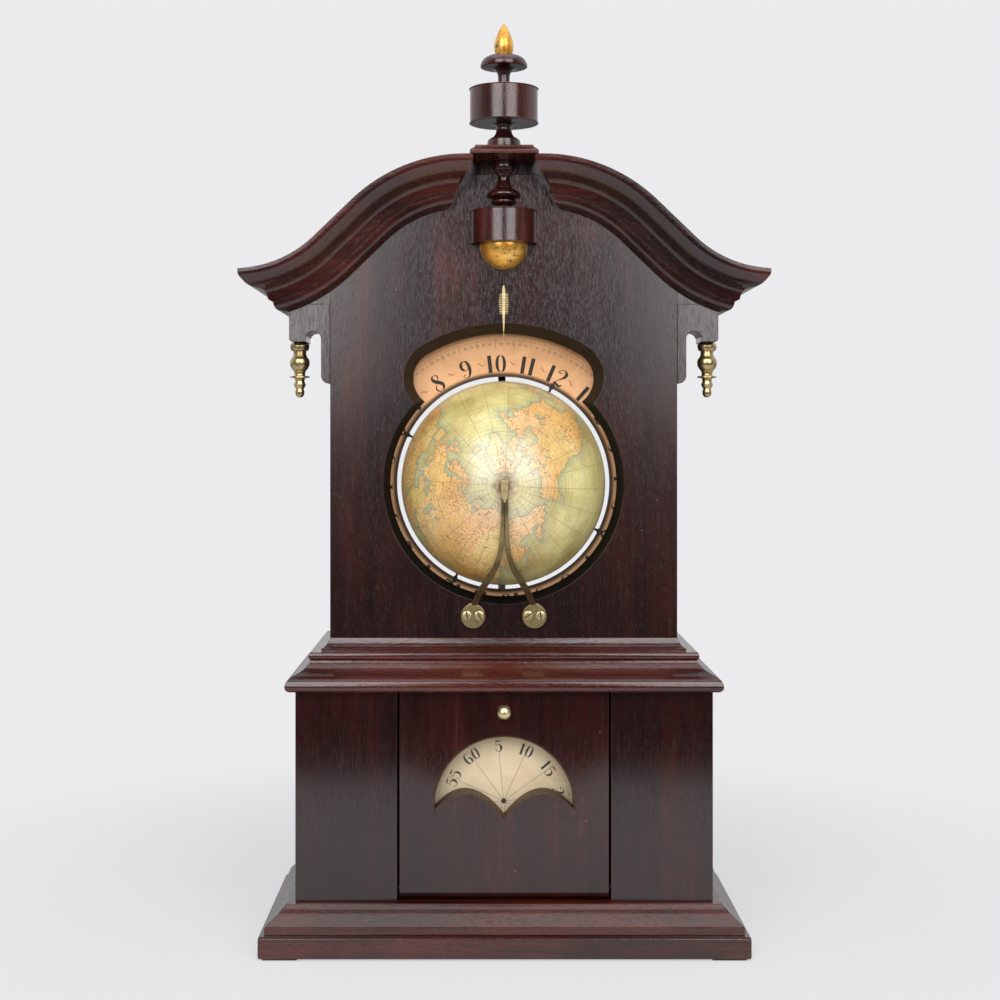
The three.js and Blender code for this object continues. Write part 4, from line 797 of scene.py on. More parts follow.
def cornice(side, word):
    """A front half with its profile-shaped inner end, and the return along the side."""
    moulded = faired(CORNICE_SHARES, steps=4, corner=34)
    face = [(p * REACH, (1 - d) * BAND, p * REACH) for p, d in moulded]
    section = face + [(0.0, depth, p) for _, depth, p in reversed(face[1:])]
    columns = 90
    steps = np.linspace(0, 1, columns)
    lines = []
    for reach, depth, over in section:
        start = INNER_START + INNER_RETURN * (1 - over / REACH)
        xs = start + (head_half + reach - MITRE_GAP - start) * steps
        lines.append((reach, xs, head_heights(depth, xs)))
    rings = []
    for j in range(columns):
        rings.append([(side * xs[j], glued_front - reach, zs[j]) for reach, xs, zs in lines])
    sweep(f"cornice_run_{word}", rings, cornice_wood, (f"cornice_front_{word}",), smooth=30)
    mitre = [(side * (head_half + GLUE + reach), panel_front - reach + MITRE_GAP, zs[-1])
             for reach, _, zs in lines]
    back = [(x, back_face, z) for x, _, z in mitre]
    sweep(f"cornice_return_{word}", [mitre, back], return_wood, (f"cornice_side_{word}",),
          smooth=30)


cornice(1, "right")
cornice(-1, "left")

EAR_INNER = upper_half + GLUE
EAR_TOP = 478 * MM
ROOF_DEPTH = 10 * MM


def roof():
    """The bent board under the head line, thicker where it meets the ears."""
    outer_xs, under_xs = np.linspace(0, head_half, 120), np.linspace(0, EAR_INNER, 100)
    outer = list(zip(outer_xs, head_heights(0.0, outer_xs)))
    under = list(zip(under_xs, head_heights(ROOF_DEPTH, under_xs)))
    right_side = outer + [(head_half, EAR_TOP), (EAR_INNER, EAR_TOP)] + under[::-1]
    left_side = [(-x, z) for x, z in right_side[1:-1]][::-1]
    flat_board("roof_board", right_side + left_side, panel_front, back_face, upright_wood,
               ("roof",), bevel=0, smooth=30)


roof()


# Front panel with the round opening and the arched window

def panel():
    """The board under the head line, with both openings cut on a bevel."""
    xs = np.linspace(0, upper_half, 90)
    crest = list(zip(xs, head_heights(ROOF_DEPTH + GLUE, xs)))
    bottom = panel_low.z
    outline = [(-upper_half, bottom), (upper_half, bottom)] + crest[::-1] + [(-x, z) for x, z in crest[1:]]
    made = flat_board("front_panel_board", outline, panel_front, panel_back, [panel_wood, reveal_black],
                      ("front_panel",), bevel=0)
    mouth, narrowing, widening = 90.2 * MM, 4.2 * MM, 6.5 * MM
    past = 5 * MM
    share = past / (panel_back - panel_front)
    ends = ((panel_front - past, -share), (panel_back + past, 1 + share))
    round_cutter = cutter("round_cutter", [circle_at(y, mouth - narrowing * inward, globe_height, 160)
                                           for y, inward in ends])
    arch_cutter = cutter("arch_cutter", [[(x, y, z) for x, z in arch_line(widening * inward)]
                                         for y, inward in ends])
    carved(made, round_cutter, arch_cutter)
    rim, reveal_top = 2 * MM, 470 * MM
    for face in made.data.polygons:
        middle = face.center
        inside = abs(middle.x) < upper_half - rim and bottom + rim < middle.z < reveal_top
        if abs(face.normal.y) < 0.9 and inside:
            face.material_index = 1
    reworked(made.data, crisp(35))
    ease(made, 0.5 * MM, limit=35)


def arch_line(inset):
    """The arched window over the globe: a wide arc with two small ends."""
    big, small, out = 120.3 * MM, 28 * MM, 47 * MM
    end_z = globe_height + math.sqrt((big - small) ** 2 - out ** 2)
    tangent = math.degrees(math.atan2(end_z - globe_height, out))
    line = arc(out, end_z, small - inset, -60, tangent, 24)
    line += arc(0, globe_height, big - inset, tangent, 180 - tangent, 60)[1:]
    line += arc(-out, end_z, small - inset, 180 - tangent, 240, 24)[1:]
    return line + [(0, globe_height)]


panel()


# Ears and their drops

def ear_line():
    """The right ear from its inner top corner: a strip, a scooped notch and a short outer foot."""
    top, foot = EAR_TOP - GLUE, 418.2 * MM
    strip = EAR_INNER + 6.8 * MM
    corner, outer_corner = 6 * MM, 3 * MM
    scoop, scoop_top = 5.65 * MM, 457.4 * MM
    outer_foot = 449.4 * MM
    line = [(EAR_INNER, top), (EAR_INNER, foot)]
    line += arc(strip - corner, foot + corner, corner, -90, 0, 12)
    line += arc(strip + scoop, scoop_top - scoop, scoop, 180, 0, 20)
    line += [(strip + 2 * scoop, outer_foot)]
    line += arc(head_half - outer_corner, outer_foot + outer_corner, outer_corner, -90, 0, 8)
    return line + [(head_half, top)]


DROP_SHARES = [
    (0, 0), (0.25, 0.01), (0.42, 0.05), (0.47, 0.11), (0.38, 0.16), (0.52, 0.2), (0.6, 0.24),
    (0.46, 0.3), (0.55, 0.35), (0.98, 0.365), (0.98, 0.39), (0.6, 0.4), (0.54, 0.43),
    (0.58, 0.48), (0.8, 0.53), (0.97, 0.59), (1, 0.65), (0.93, 0.7), (0.74, 0.75), (0.64, 0.8),
    (0.66, 0.85), (0.86, 0.87), (0.97, 0.93), (0.97, 0.96), (0.78, 1), (0, 1),
]
ear_back = panel_front + 32 * MM
for side, word in ((1, "right"), (-1, "left")):
    flat_board(f"ear_board_{word}", [(side * x, z) for x, z in ear_line()], panel_front, ear_back,
               upright_wood, (f"ear_{word}",), bevel=0.5 * MM)
    drop = f"drop_{word}"
    turning(f"drop_turning_{word}", DROP_SHARES, 7.5 * MM, drop, middle_of(drop), brass, 48)


# Cap, finial, flame and the split pendant

FINIAL_SHARES = [
    (0, 0), (0.486, 0), (0.498, 0.04), (0.478, 0.094), (0.42, 0.112), (0.316, 0.133),
    (0.245, 0.17), (0.221, 0.212), (0.233, 0.242), (0.324, 0.27), (0.968, 0.274), (1, 0.286),
    (1, 0.63), (0.972, 0.643), (0.257, 0.645), (0.182, 0.67), (0.174, 0.72), (0.178, 0.777),
    (0.221, 0.827), (0.336, 0.861), (0.652, 0.871), (0.692, 0.883), (0.688, 0.908),
    (0.617, 0.954), (0.494, 0.983), (0.356, 0.997), (0, 1),
]
FLAME_SHARES = [
    (0, 0), (0.8, 0), (0.92, 0.12), (1, 0.24), (0.95, 0.36), (0.87, 0.48),
    (0.7, 0.62), (0.53, 0.75), (0.28, 0.88), (0, 1),
]
PENDANT_SHARES = [
    (0, 0), (0.975, 0), (1, 0.013), (1, 0.387), (0.98, 0.4), (0.257, 0.402), (0.257, 0.449),
    (0.29, 0.466), (0.39, 0.489), (0.411, 0.508), (0.398, 0.521), (0.315, 0.54), (0.394, 0.546),
    (0.523, 0.569), (0.548, 0.591), (0.523, 0.614), (0.394, 0.652), (0.257, 0.678),
    (0.274, 0.691), (0.245, 0.712), (0.2, 0.753), (0.191, 0.79), (0.21, 0.83),
    (0.29, 0.866), (0.365, 0.895), (0.385, 0.93), (0.38, 1), (0, 1),
]
cap_centre = middle_of("cap")


def cap():
    """A square block with a hollow moulding round its upper half."""
    low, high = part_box("cap")
    half_base, half_top = 25.2 * MM, 21.4 * MM
    shares = [(1.0, 0.0), (1.0, 0.27), (0.93, 0.38), (0.68, 0.52), (0.3, 0.66), (0.05, 0.8), (0.0, 0.86),
              (0.0, 1.0)]
    rings = []
    for share, height in faired(shares, steps=4, corner=50):
        half = half_top + (half_base - half_top) * share
        z = low.z + height * (high.z - low.z)
        rings.append([(cap_centre[0] + half * a, cap_centre[1] + half * b, z)
                      for a, b in ((-1, -1), (1, -1), (1, 1), (-1, 1))])
    ease(sweep("cap_block", rings, cornice_wood, ("cap",)), 0.4 * MM, limit=50)


cap()
turning("finial_turning", FINIAL_SHARES, 25.2 * MM, "finial", cap_centre, turned_wood, 112)
turning("flame_turning", FLAME_SHARES, 7.35 * MM, "finial_flame", cap_centre, gilding, 64)
split = (0, glued_front)
turning("pendant_turning", PENDANT_SHARES, 24 * MM, "pendant", split, turned_wood, 112, half=True)
ball = [(math.sin(math.radians(a)), 1 - math.cos(math.radians(a))) for a in range(0, 91, 5)] + [(0, 1)]
turning("pendant_ball_turning", ball, 18.1 * MM, "pendant_ball", split, gilding, 96, half=True)


# Door with its window, knob

def window_line(grow):
    """Half a circle over two hanging curves that meet in a cusp; grow widens it."""
    radius = 51.1 * MM + grow
    tip = minute_height - 2 * MM - grow
    cusp = minute_height - 8 * MM - grow
    crest_x, crest = 26.5 * MM, minute_height + 10.7 * MM - grow
    bend_x = 2 * crest_x - radius / 2
    bend_z = 2 * crest - (tip + cusp) / 2
    curve = []
    for i in range(24):
        t = i / 24
        curve.append((2 * t * (1 - t) * bend_x + t * t * radius,
                      (1 - t) ** 2 * cusp + 2 * t * (1 - t) * bend_z + t * t * tip))
    line = curve + [(radius, tip)] + arc(0, minute_height, radius, 0, 180, 64)
    return line + [(-radius, tip)] + [(-x, z) for x, z in curve[1:]][::-1]


def door():
    """A board with a rounded foot, its window cut with a small bevel."""
    low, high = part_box("door_panel")
    radius = (high.y - low.y) / 2
    profile = arc((low.y + high.y) / 2, low.z + radius, radius, 180, 360, 24)
    profile += [(high.y, high.z), (low.y, high.z)]
    rings = [[(x, y, z) for y, z in profile] for x in (low.x, high.x)]
    made = sweep("door_board", rings, [door_wood, window_edge], ("door_panel",), "door")
    past = 5 * MM
    opening = cutter("window_cutter", between(window_line(0), low.y - past, high.y + past))
    bevel = cutter("bevel_cutter", [[(x, low.y - 1 * MM, z) for x, z in window_line(2.2 * MM)],
                                    [(x, low.y + 1.2 * MM, z) for x, z in window_line(0)]])
    carved(made, opening, bevel)
    for face in made.data.polygons:
        middle = face.center
        inside = abs(middle.x) < 60 * MM and 90 * MM < middle.z < 162 * MM
        if abs(face.normal.y) < 0.97 and inside:
            face.material_index = 1
    reworked(made.data, crisp(35))
    ease(made, 0.4 * MM, limit=35)


door()
KNOB_SHARES = [
    (0, 0), (0.48, 0), (0.48, 0.4), (0.62, 0.44), (0.95, 0.5), (1, 0.62), (0.9, 0.78), (0.6, 0.93), (0.25, 1),
    (0, 1),
]
low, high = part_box("door_knob")
knob = small_turning("knob_turning", KNOB_SHARES, 5.2 * MM, high.y - low.y, 48, ("door_knob",), "door")
faced(knob, (0, high.y, (low.z + high.z) / 2))


# Globe with its map: coasts as longitude and latitude in degrees, written from general knowledge

COASTS = {
    "eurasia": """-9.3 43, -8.8 41, -9.5 38.7, -8.9 37, -6.3 36.6, -5.6 36, -4.4 36.7, -2.1 36.8, -0.7 37.6,
        0.2 38.8, -0.3 39.5, 0.9 40.9, 3.2 42, 3.1 43.1, 5 43.4, 7.5 43.8, 8.8 44.4, 10.2 43.9, 10.5 42.9,
        12.3 41.7, 14 40.8, 15.6 40.1, 16.1 38.9, 15.7 38, 16.6 38.4, 17.1 39, 16.6 39.8, 17 40.5,
        18.4 39.8, 18.5 40.2, 17 41.1, 15.9 41.6, 16.2 41.9, 14.7 42.1, 13.6 43.5, 12.4 44.3, 12.4 45.4,
        13.7 45.6, 13.6 45, 14.9 45, 15.5 43.9, 17.5 43, 19.4 41.9, 19.4 40.6, 20.7 39, 21.2 38.2,
        21.3 37.5, 22 36.8, 22.9 36.5, 23.1 37.4, 24 37.7, 23.9 38.2, 22.8 39.3, 22.8 40.5, 24 40.3,
        24 40.8, 26 40.8, 26.2 40.1, 26.8 40.6, 28.9 41, 28 41.7, 27.7 42.6, 28.6 43.9, 29.6 45, 30.8 46.5,
        32 46.6, 33.5 46.1, 32.6 45.4, 33.6 44.5, 35.4 45, 36.6 45.3, 35.1 46.2, 38.2 47.1, 39.3 47.2,
        38 46.3, 37.4 45.2, 39.5 43.8, 41.6 42, 41.5 41.4, 38.4 41, 36 41.6, 35 42, 32.3 41.8, 29.2 41.2,
        27.3 40.4, 26.1 39.5, 26.8 38.4, 27.3 37, 28.4 36.8, 30.5 36.4, 31 36.8, 32.7 36.1, 34.5 36.8,
        36 36.8, 35.8 35.3, 35 33, 34.3 31.3, 32.6 30, 34.2 27.8, 35 29.4, 36.8 26, 39 22, 41 18, 42.7 16.4,
        43.3 12.8, 45 12.9, 48.5 14, 52 15.6, 55 17.3, 57.7 19, 59.8 22.4, 58.6 23.6, 56.7 24.4, 56.3 26,
        54 24.2, 51.6 24.2, 51.4 25.8, 50.2 26.6, 48.4 28.8, 48.8 30.3, 50.6 29.5, 51.5 27.9, 54.5 26.6,
        57 26.9, 58.9 25.5, 61.6 25.1, 66.5 25.2, 68 23.7, 70.3 22.9, 69 22.3, 70.8 20.8, 72.6 21.8,
        72.8 19, 73.5 15.8, 74.8 12.9, 76.3 9.8, 77.5 8.1, 78.2 8.9, 79.8 10.3, 80.2 13, 80.1 15.6,
        82.3 16.6, 84.8 19, 87 20.7, 87.2 21.5, 90.3 21.9, 91.8 22.4, 92.3 20.6, 94.3 18, 94.3 16,
        95.4 15.8, 97 17.2, 97.6 16, 98.6 13, 98.6 9.9, 98.3 8, 100.3 6.4, 100.8 4, 103.5 1.3, 104.2 1.4,
        103.4 4, 102.3 6.2, 100.4 7.4, 99.2 9.3, 99.9 11.7, 100 13.4, 101 13.3, 102.6 12, 103.6 10.6,
        104.8 8.7, 106.7 10.4, 109.2 11.6, 109.3 13.5, 108.3 16, 106.5 17.9, 105.7 19.2, 106.8 20.6,
        108.2 21.6, 109.8 21.4, 109.8 20.3, 111 21.4, 113.8 22.2, 116.7 23.2, 118.7 24.7, 119.8 26.6,
        121.8 29, 121.9 31, 120.9 32.8, 119.2 34.9, 120.4 36.1, 122.5 37, 120.9 37.8, 119 37.3, 117.7 38.7,
        119.2 39.3, 121.4 40.9, 121.6 39, 124.3 39.9, 125.3 37.8, 126.6 36.7, 126.4 34.5, 129.2 35.2,
        129.4 37, 127.6 39.5, 129.8 40.9, 130.7 42.3, 133 42.8, 135.5 44.2, 138.3 46.8, 140.4 49.5,
        140.6 52.5, 141.3 53.2, 138.8 54.2, 135.3 54.7, 138.2 56.7, 142.3 59.1, 148.5 59.5, 152.8 59,
        155.1 59.4, 156.8 61.6, 159.9 60.8, 160.3 61.9, 163.2 62.5, 163.3 61.5, 161.9 60.2, 159.7 59.8,
        156 57, 155.6 54, 156.7 51.1, 158.4 53, 160 54.5, 162.1 56.2, 163.3 58, 162 58.3, 164.5 59.9,
        166.3 60, 170.5 60, 173.6 61.7, 177.4 62.6, 179.5 62.5, 178.8 64.2, 181.5 65, 184 64.8, 187.5 64.4,
        190 66, 186 67, 181 68.8, 176 69.8, 170.5 70.1, 167.8 69.7, 160.9 69.5, 159.8 71, 152.5 70.9,
        150 71.6, 140 72.5, 139 71.5, 132.5 71.8, 129.5 71, 127 73.4, 123 73, 119 73, 113 73.8, 113.5 75.5,
        107 76.5, 104.3 77.7, 98 76.2, 93 76.1, 87 75, 86 74, 80.7 73.5, 80.6 72, 77.6 72.3, 75 72.8,
        73 71.4, 74.2 68.2, 72.5 66.3, 71.5 66.4, 73 68.8, 72.5 71, 72.5 72.9, 69.5 72.9, 66.8 70.8,
        67 69.6, 68.3 68.3, 64.9 69.3, 60.5 69.8, 59.9 68.4, 57.3 68.6, 54 68.3, 48 67.6, 46.5 68.1,
        43.4 68.6, 44.2 66.1, 42 66.4, 40 64.8, 36.5 64, 34.8 64.5, 37 65.2, 33 66.7, 40.3 66.5, 41.1 67.5,
        37.6 68.3, 33 69.4, 30 69.9, 28.5 71, 24.5 71, 19 69.8, 14.8 67.7, 12.5 65.9, 10.5 64.3, 8 63,
        5.1 62, 5 60, 5.6 58.8, 7 58, 8.9 58.3, 10.6 59.3, 11.3 58.9, 12.4 56.8, 12.9 55.5, 14.2 55.4,
        14.4 56, 16 56.3, 16.7 58, 18.8 59.7, 17.2 61, 17.8 62.6, 21.2 64.2, 22.2 65.7, 24.7 65.8,
        25.3 64.9, 22.8 63.8, 21.4 62.6, 21.4 61, 23 59.9, 28 60.4, 30.2 59.9, 28 59.5, 23.5 59.2,
        23.6 58.4, 24.4 57.3, 22.5 57.7, 21.1 56.8, 21 55.3, 19.8 54.5, 18.6 54.6, 16.5 54.5, 14.2 53.9,
        12.4 54.3, 10.9 54, 9.9 54.9, 10.3 56.6, 10.6 57.6, 8.3 57, 8.1 55.6, 8.8 53.9, 7 53.6, 5 53.2,
        4 51.9, 2.5 51.1, 1.6 50.4, 0.1 49.6, -1.4 49.7, -1.6 48.6, -4.7 48.5, -4.4 47.8, -2.2 47.1,
        -1.2 45.8, -1.5 43.5, -3.8 43.4, -7.9 43.8""",
    "africa": """-5.9 35.8, -2 35.2, 1.5 36.5, 5 36.8, 9.8 37.3, 11 36.9, 10.6 35.7, 10 34.2, 11.2 33.2,
        15.2 32.3, 15.7 31.4, 19 30.3, 20.1 31, 20 32.4, 23 32.6, 25 31.6, 29 30.9, 31 31.5, 32.7 31.4,
        33 29.9, 34 26.5, 35.6 23.9, 37.2 21, 37.4 18.8, 39 16, 41.2 14.5, 43.2 12.4, 43.2 11.5, 44.5 10.5,
        51.1 11.9, 50.8 9.5, 48 4.5, 44 1, 41.5 -1.8, 39.6 -4.3, 38.8 -6.2, 39.5 -9, 40.6 -11, 40.7 -15,
        39 -17, 35 -20, 35.5 -23.8, 32.8 -25.8, 32.8 -28, 30 -31.5, 27 -33.6, 22 -34.2, 18.5 -34.2,
        18.2 -32, 16.5 -28.6, 15 -26.5, 14.4 -22.5, 11.8 -17.9, 13.6 -12.5, 13 -9, 12.2 -6, 9.5 -2.5, 9.3 1,
        9.6 4, 8.4 4.6, 6 4.3, 4.4 6.3, 1.2 6, -2 4.8, -4.5 5.2, -7.6 4.4, -11.3 6.8, -13.2 8.6, -15 10.9,
        -16.7 12.5, -17.4 14.7, -16.2 18, -16.9 21, -15.9 24, -14.5 26.2, -12.9 27.8, -9.8 29.6, -9.6 31.4,
        -6.8 34""",
    "north_america": """-168 65.6, -163 66.5, -166.5 68.4, -162.5 69.9, -156.5 71.3, -150 70.5, -141 69.7,
        -135.5 69.2, -128 70.4, -124.5 69.9, -115 68.8, -108.5 68, -102 67.8, -96 68.2, -94.3 69.5,
        -96 71.3, -94.5 71.9, -92 69.7, -90.5 68.5, -88 68.3, -87.5 67.2, -85.8 68.9, -81.8 69.2,
        -82.5 67.8, -81.5 67, -86.5 66, -88 64.5, -91 63.8, -94 61.5, -94.7 58.8, -92.5 57, -88 56.3,
        -82.5 55.1, -82 53, -80 51.3, -79 52, -79 54.5, -76.8 56.5, -77.5 58.7, -78 62, -74 62.3, -70 61,
        -69.5 59, -67 58.5, -64.7 60.3, -62 57.5, -60 55.3, -56 53.3, -55.7 52.2, -59 51.2, -60.2 50.2,
        -66 50.2, -69.5 48.3, -65 49.2, -64.3 48.5, -65 47, -63 45.8, -61.2 45.6, -60 46.8, -60 45.8,
        -63.5 44.5, -66 43.6, -66 44.8, -68 44.4, -70.5 43.3, -70.7 42, -70 41.7, -73.8 40.8, -74.2 39.5,
        -75.4 38.2, -76 37, -75.7 35.3, -77.8 34, -81 31.8, -81.3 29.8, -80.1 27, -80.6 25.2, -82 26.8,
        -82.8 28.8, -84.2 30, -86.5 30.4, -89.4 30.3, -90.5 29.2, -94 29.6, -97.2 27.8, -97.7 24.5,
        -97.6 21.5, -95.5 18.7, -92.5 18.6, -90.6 19.8, -90.2 21.1, -87 21.5, -87.7 18.5, -88.8 15.9,
        -84.5 15.8, -83.2 14.8, -83.7 11.2, -82 9.2, -79.8 9.5, -77.2 8.6, -78.3 8, -79.8 7.4, -82 8,
        -83.6 9, -85.8 10.5, -87.7 13, -91.4 14, -94 16.1, -97.5 16, -101.8 17.8, -105.6 20.4, -105.4 22,
        -108.5 25.4, -112.2 29, -113.1 31.2, -114.8 31.6, -112.8 28.2, -110.5 24.5, -109.6 23, -112 24.8,
        -114.5 27.2, -115.8 30, -117.2 32.6, -120.6 34.5, -122.4 37.5, -124.3 40.3, -124.2 43, -124 46.3,
        -124.6 48.4, -122.8 49, -127.5 51, -130.3 54.5, -133 56.5, -136.5 58.3, -140 59.7, -145 60.4,
        -148.5 60, -151.8 59.3, -151 61, -154 59, -158 56.5, -162.5 55, -158 57.7, -157.2 58.8, -162 58.7,
        -165 60.8, -165.7 62.2, -161 64, -166 64.4""",
    "south_america": """-77.4 8.7, -75.5 10.7, -71.7 12.3, -71 11, -68 11.6, -62 10.6, -60 8.5, -57 6,
        -51.8 4.3, -50 1.2, -50 -0.5, -44.5 -2.6, -40 -2.9, -35.3 -5.2, -35 -9, -38.5 -13, -39.2 -18,
        -41 -22, -45 -23.5, -48.6 -26, -48.7 -28.5, -51.5 -32, -53.8 -34.4, -57 -34.6, -58.2 -34, -57 -36.5,
        -57.7 -38.3, -62 -39, -62.3 -40.8, -65 -41, -63.7 -42.5, -65.3 -44.5, -67.5 -46, -65.8 -47.2,
        -69 -50.5, -68.4 -52.4, -65.2 -54.7, -69 -55.3, -72 -53.8, -75 -51, -75.5 -47, -73.3 -44,
        -73.7 -39.8, -71.5 -33, -71.5 -29, -70.2 -23, -70.3 -18.4, -76 -14, -79 -8, -81.3 -5.5, -80 -3,
        -80.8 -1.5, -80 0.8, -77.5 3.8, -77.3 7""",
    "greenland": """-73 78.2, -66 80.8, -60 82, -45 82.6, -32 83.6, -22 82.3, -17 80, -19 77, -20 74.5,
        -22 72.2, -23 70.2, -30 68.2, -37 65.8, -40.5 64.5, -42.5 61.5, -44 60, -48 61, -51.5 64, -53.5 67,
        -51 69.3, -54.5 71, -56 73.5, -60 76, -67 76.2, -71 77.2""",
    "baffin": """-85 73.7, -80 73.7, -76 72.7, -71 71.2, -67.5 69.2, -62 66.8, -64.5 65, -67 63, -65 62,
        -72 63.5, -78 64.8, -73.5 66.5, -73 68.3, -78 70, -85 70, -89 70.8""",
    "ellesmere": """-90 76.5, -80 76.2, -78 77.5, -75 78.6, -66 81.5, -62 82.5, -70 83.1, -85 82.3,
        -91 81.5, -86 79.5, -89 78""",
    "victoria": "-117 71, -118.5 72.8, -114 73.2, -105 73, -101.5 70, -104 68.8, -113 68.5, -116.5 69.4",
    "banks": "-123 71.2, -125.5 73, -121 74.3, -119 73.2, -119.8 72",
    "devon": "-80 74.7, -80 75.6, -92 76.4, -92 74.8",
    "newfoundland": "-59.3 47.8, -57 51, -55.6 51.5, -53 49, -53 46.8, -56 47.3",
    "iceland": "-24.3 65.6, -22 66.4, -20 65.8, -16 66.4, -13.6 65, -15 64.3, -18.8 63.4, -22.6 63.9",
    "britain": """-5.5 50.1, -3 50.6, 1.3 51.2, 1.7 52.7, 0.3 53.1, -1.4 54.9, -3.2 56, -2 57.5, -3.3 58.6,
        -5 58.5, -5.8 57.3, -5.2 55.8, -3.2 54.9, -3.1 53.4, -4.5 53.2, -4.2 52.3, -5.2 51.8, -3 51.4""",
    "ireland": "-10 51.6, -6.4 52.2, -6 53.6, -5.6 54.6, -7.3 55.3, -10 54.2, -9 53.2",
    "spitsbergen": "11 79.5, 20 80.4, 27 80, 21 78.3, 16.8 76.6, 13.5 78",
    "new_land": "51.5 71.5, 54 73.5, 57 75.4, 66 77, 68.5 76.6, 61 75.2, 57 73, 55.5 70.8",
    "north_land": "95 79.5, 98 81, 104 79, 100 78",
    "new_siberia": "137 75.5, 145 76, 150 75, 142 73.7",
    "sakhalin": "142 46, 142 49, 141.9 53.5, 143 54.3, 143.5 51, 144.5 49, 143 47",
    "hokkaido": "140 41.6, 141.7 45.4, 145.3 43.6, 143.2 42",
    "honshu": """131 34, 136 35.8, 137.2 37.4, 139.5 38.5, 140.2 41, 141.6 40.5, 142 39, 140.8 35.8,
        137.5 34.7, 135.8 33.5, 133 34.2""",
    "kyushu": "130 33.3, 131.7 33.6, 131.3 31.3, 130.2 31.3",
    "shikoku": "132.3 33.6, 134.6 34.1, 134.2 33.2, 133 32.8",
    "formosa": "121 25.2, 121.9 24.8, 120.9 22, 120.1 23.2",
    "luzon": "120.4 16, 120.6 18.5, 122.2 18.4, 121.5 15.8, 124 13, 120.6 13.8",
    "mindanao": "122 7, 123.5 8.7, 125.5 9.7, 126.5 7.5, 125.4 5.7, 124 6.8",
    "borneo": """109 1.8, 111.4 2.7, 113 3.2, 116.7 6.9, 119.2 5.1, 117.8 3.5, 118.9 1, 117.4 0, 116.3 -2,
        116.2 -3.9, 114.6 -4, 111.7 -3.4, 110.1 -1.5, 109 0.3""",
    "sumatra": "95.3 5.6, 98 4.4, 100.6 2.2, 103.5 0, 106 -3, 105.8 -5.8, 102.3 -4, 100.4 -1, 98.7 1.7",
    "java": "105.3 -6.8, 108.5 -6.7, 112.6 -6.9, 114.5 -8.3, 110.5 -8.1, 106.5 -7.4",
    "celebes": "119 -3.5, 119.8 0, 120.9 1.3, 125 1.6, 121 0.5, 121.4 -1.2, 122.8 -4.6, 120.4 -5.6",
    "new_guinea": """131 -0.8, 134 -0.8, 135 -3.3, 138 -1.6, 144.5 -3.9, 147.8 -6, 147 -6.8, 150.5 -10.4,
        147.5 -9.9, 144 -7.7, 142.5 -9.3, 138 -8.3, 138 -5.5, 133 -4""",
    "australia": """113.7 -22.5, 114.2 -26.3, 115.7 -31.8, 115 -34.2, 118 -35, 123.5 -33.9, 128 -32,
        131.3 -31.5, 135.5 -34.7, 137.8 -32.7, 138 -35.6, 140.5 -38, 143.5 -38.8, 146.4 -39, 150 -37.3,
        151.3 -33.6, 153.2 -30.5, 153.4 -27, 150.9 -23.5, 147.5 -19.8, 146 -17, 145.3 -15, 143.5 -14.3,
        142.5 -10.8, 141.6 -13.5, 140.8 -17.5, 137 -15.9, 135.5 -15, 136.8 -12.2, 132.6 -11.4, 130.4 -12.8,
        129.3 -15, 126.5 -14.1, 123.8 -16.5, 122.2 -18.2, 117.5 -20.7""",
    "tasmania": "144.7 -40.8, 148.3 -41, 147.8 -43.2, 146 -43.5",
    "north_island": "172.7 -34.5, 175.5 -37, 178.5 -37.7, 177 -39.5, 175.2 -41.5, 173.8 -39.3, 174.8 -37.5",
    "south_island": "172.7 -40.5, 174.2 -41.8, 172.8 -43.8, 170.5 -46, 168.3 -46.6, 166.5 -45.8, 170 -43.2",
    "madagascar": "49.3 -12, 50.4 -15.7, 47.2 -25, 44 -24.8, 43.5 -22, 44.4 -19.9, 44.2 -16.3, 47 -15",
    "ceylon": "79.8 8, 80.2 9.7, 81.8 7.5, 80.6 6",
    "cuba": "-84.9 21.9, -82 23.1, -77 21.6, -74.2 20.2, -77.7 19.9, -78.5 21.5",
    "hispaniola": "-74.4 18.5, -73 19.8, -70 19.7, -68.5 18.5, -71.5 17.9",
    "antarctica": """-180 -78.5, -160 -77.5, -150 -76.5, -135 -74.5, -110 -74.5, -100 -73, -80 -73, -70 -70,
        -64 -66, -57 -63.3, -61 -66, -62 -72, -62 -75, -45 -78, -30 -76, -17 -72.5, 0 -70, 20 -70, 40 -69,
        55 -66, 70 -69, 85 -66.6, 110 -66, 135 -66.2, 150 -68.5, 165 -71, 165 -77.5, 180 -78.5, 180 -90,
        -180 -90""",
}
INLAND_WATERS = {
    "caspian": """47 45, 50 46.6, 53 46.8, 53 45.3, 51 44.5, 50.3 44.3, 51.5 43.2, 52.7 42.4, 52.6 41.5,
        53.8 40, 53.9 37, 52 36.6, 50 37.4, 49 38, 49.3 39.5, 49.5 40.5, 48 42.5, 47.5 43""",
    "aral": "58.3 45.5, 60 46.6, 61.6 46.3, 61 44.6, 59 43.6",
    "superior": "-92 46.8, -88 48.8, -84.6 46.6, -88 47.2",
    "michigan": "-87.8 42, -86.2 42.3, -85 45.8, -87.5 45",
    "huron": "-84 45.8, -81 46, -80 44.6, -82.4 43.2, -83.5 44.3",
    "baikal": "103.8 51.6, 108 53.2, 109.8 55.6, 108.5 54.2",
    "winnipeg": "-97 50.5, -98 53.8, -98.9 52",
    "great_bear": "-124.5 66.5, -120 67, -118.5 65.5, -121 65",
    "great_slave": "-117 61, -112 62.6, -110 62.7, -113.5 61.2",
    "victoria_water": "31.8 -2.6, 31.8 0, 34 0, 33.6 -2.4",
}
FIRST_MERIDIAN = 147.0
POLAR_CIRCLE, TROPIC = 66.5, 23.5
OPEN_POLE = 87.6


def outline_of(text):
    return np.array([[float(v) for v in pair.split()] for pair in text.replace("\n", " ").split(",")])


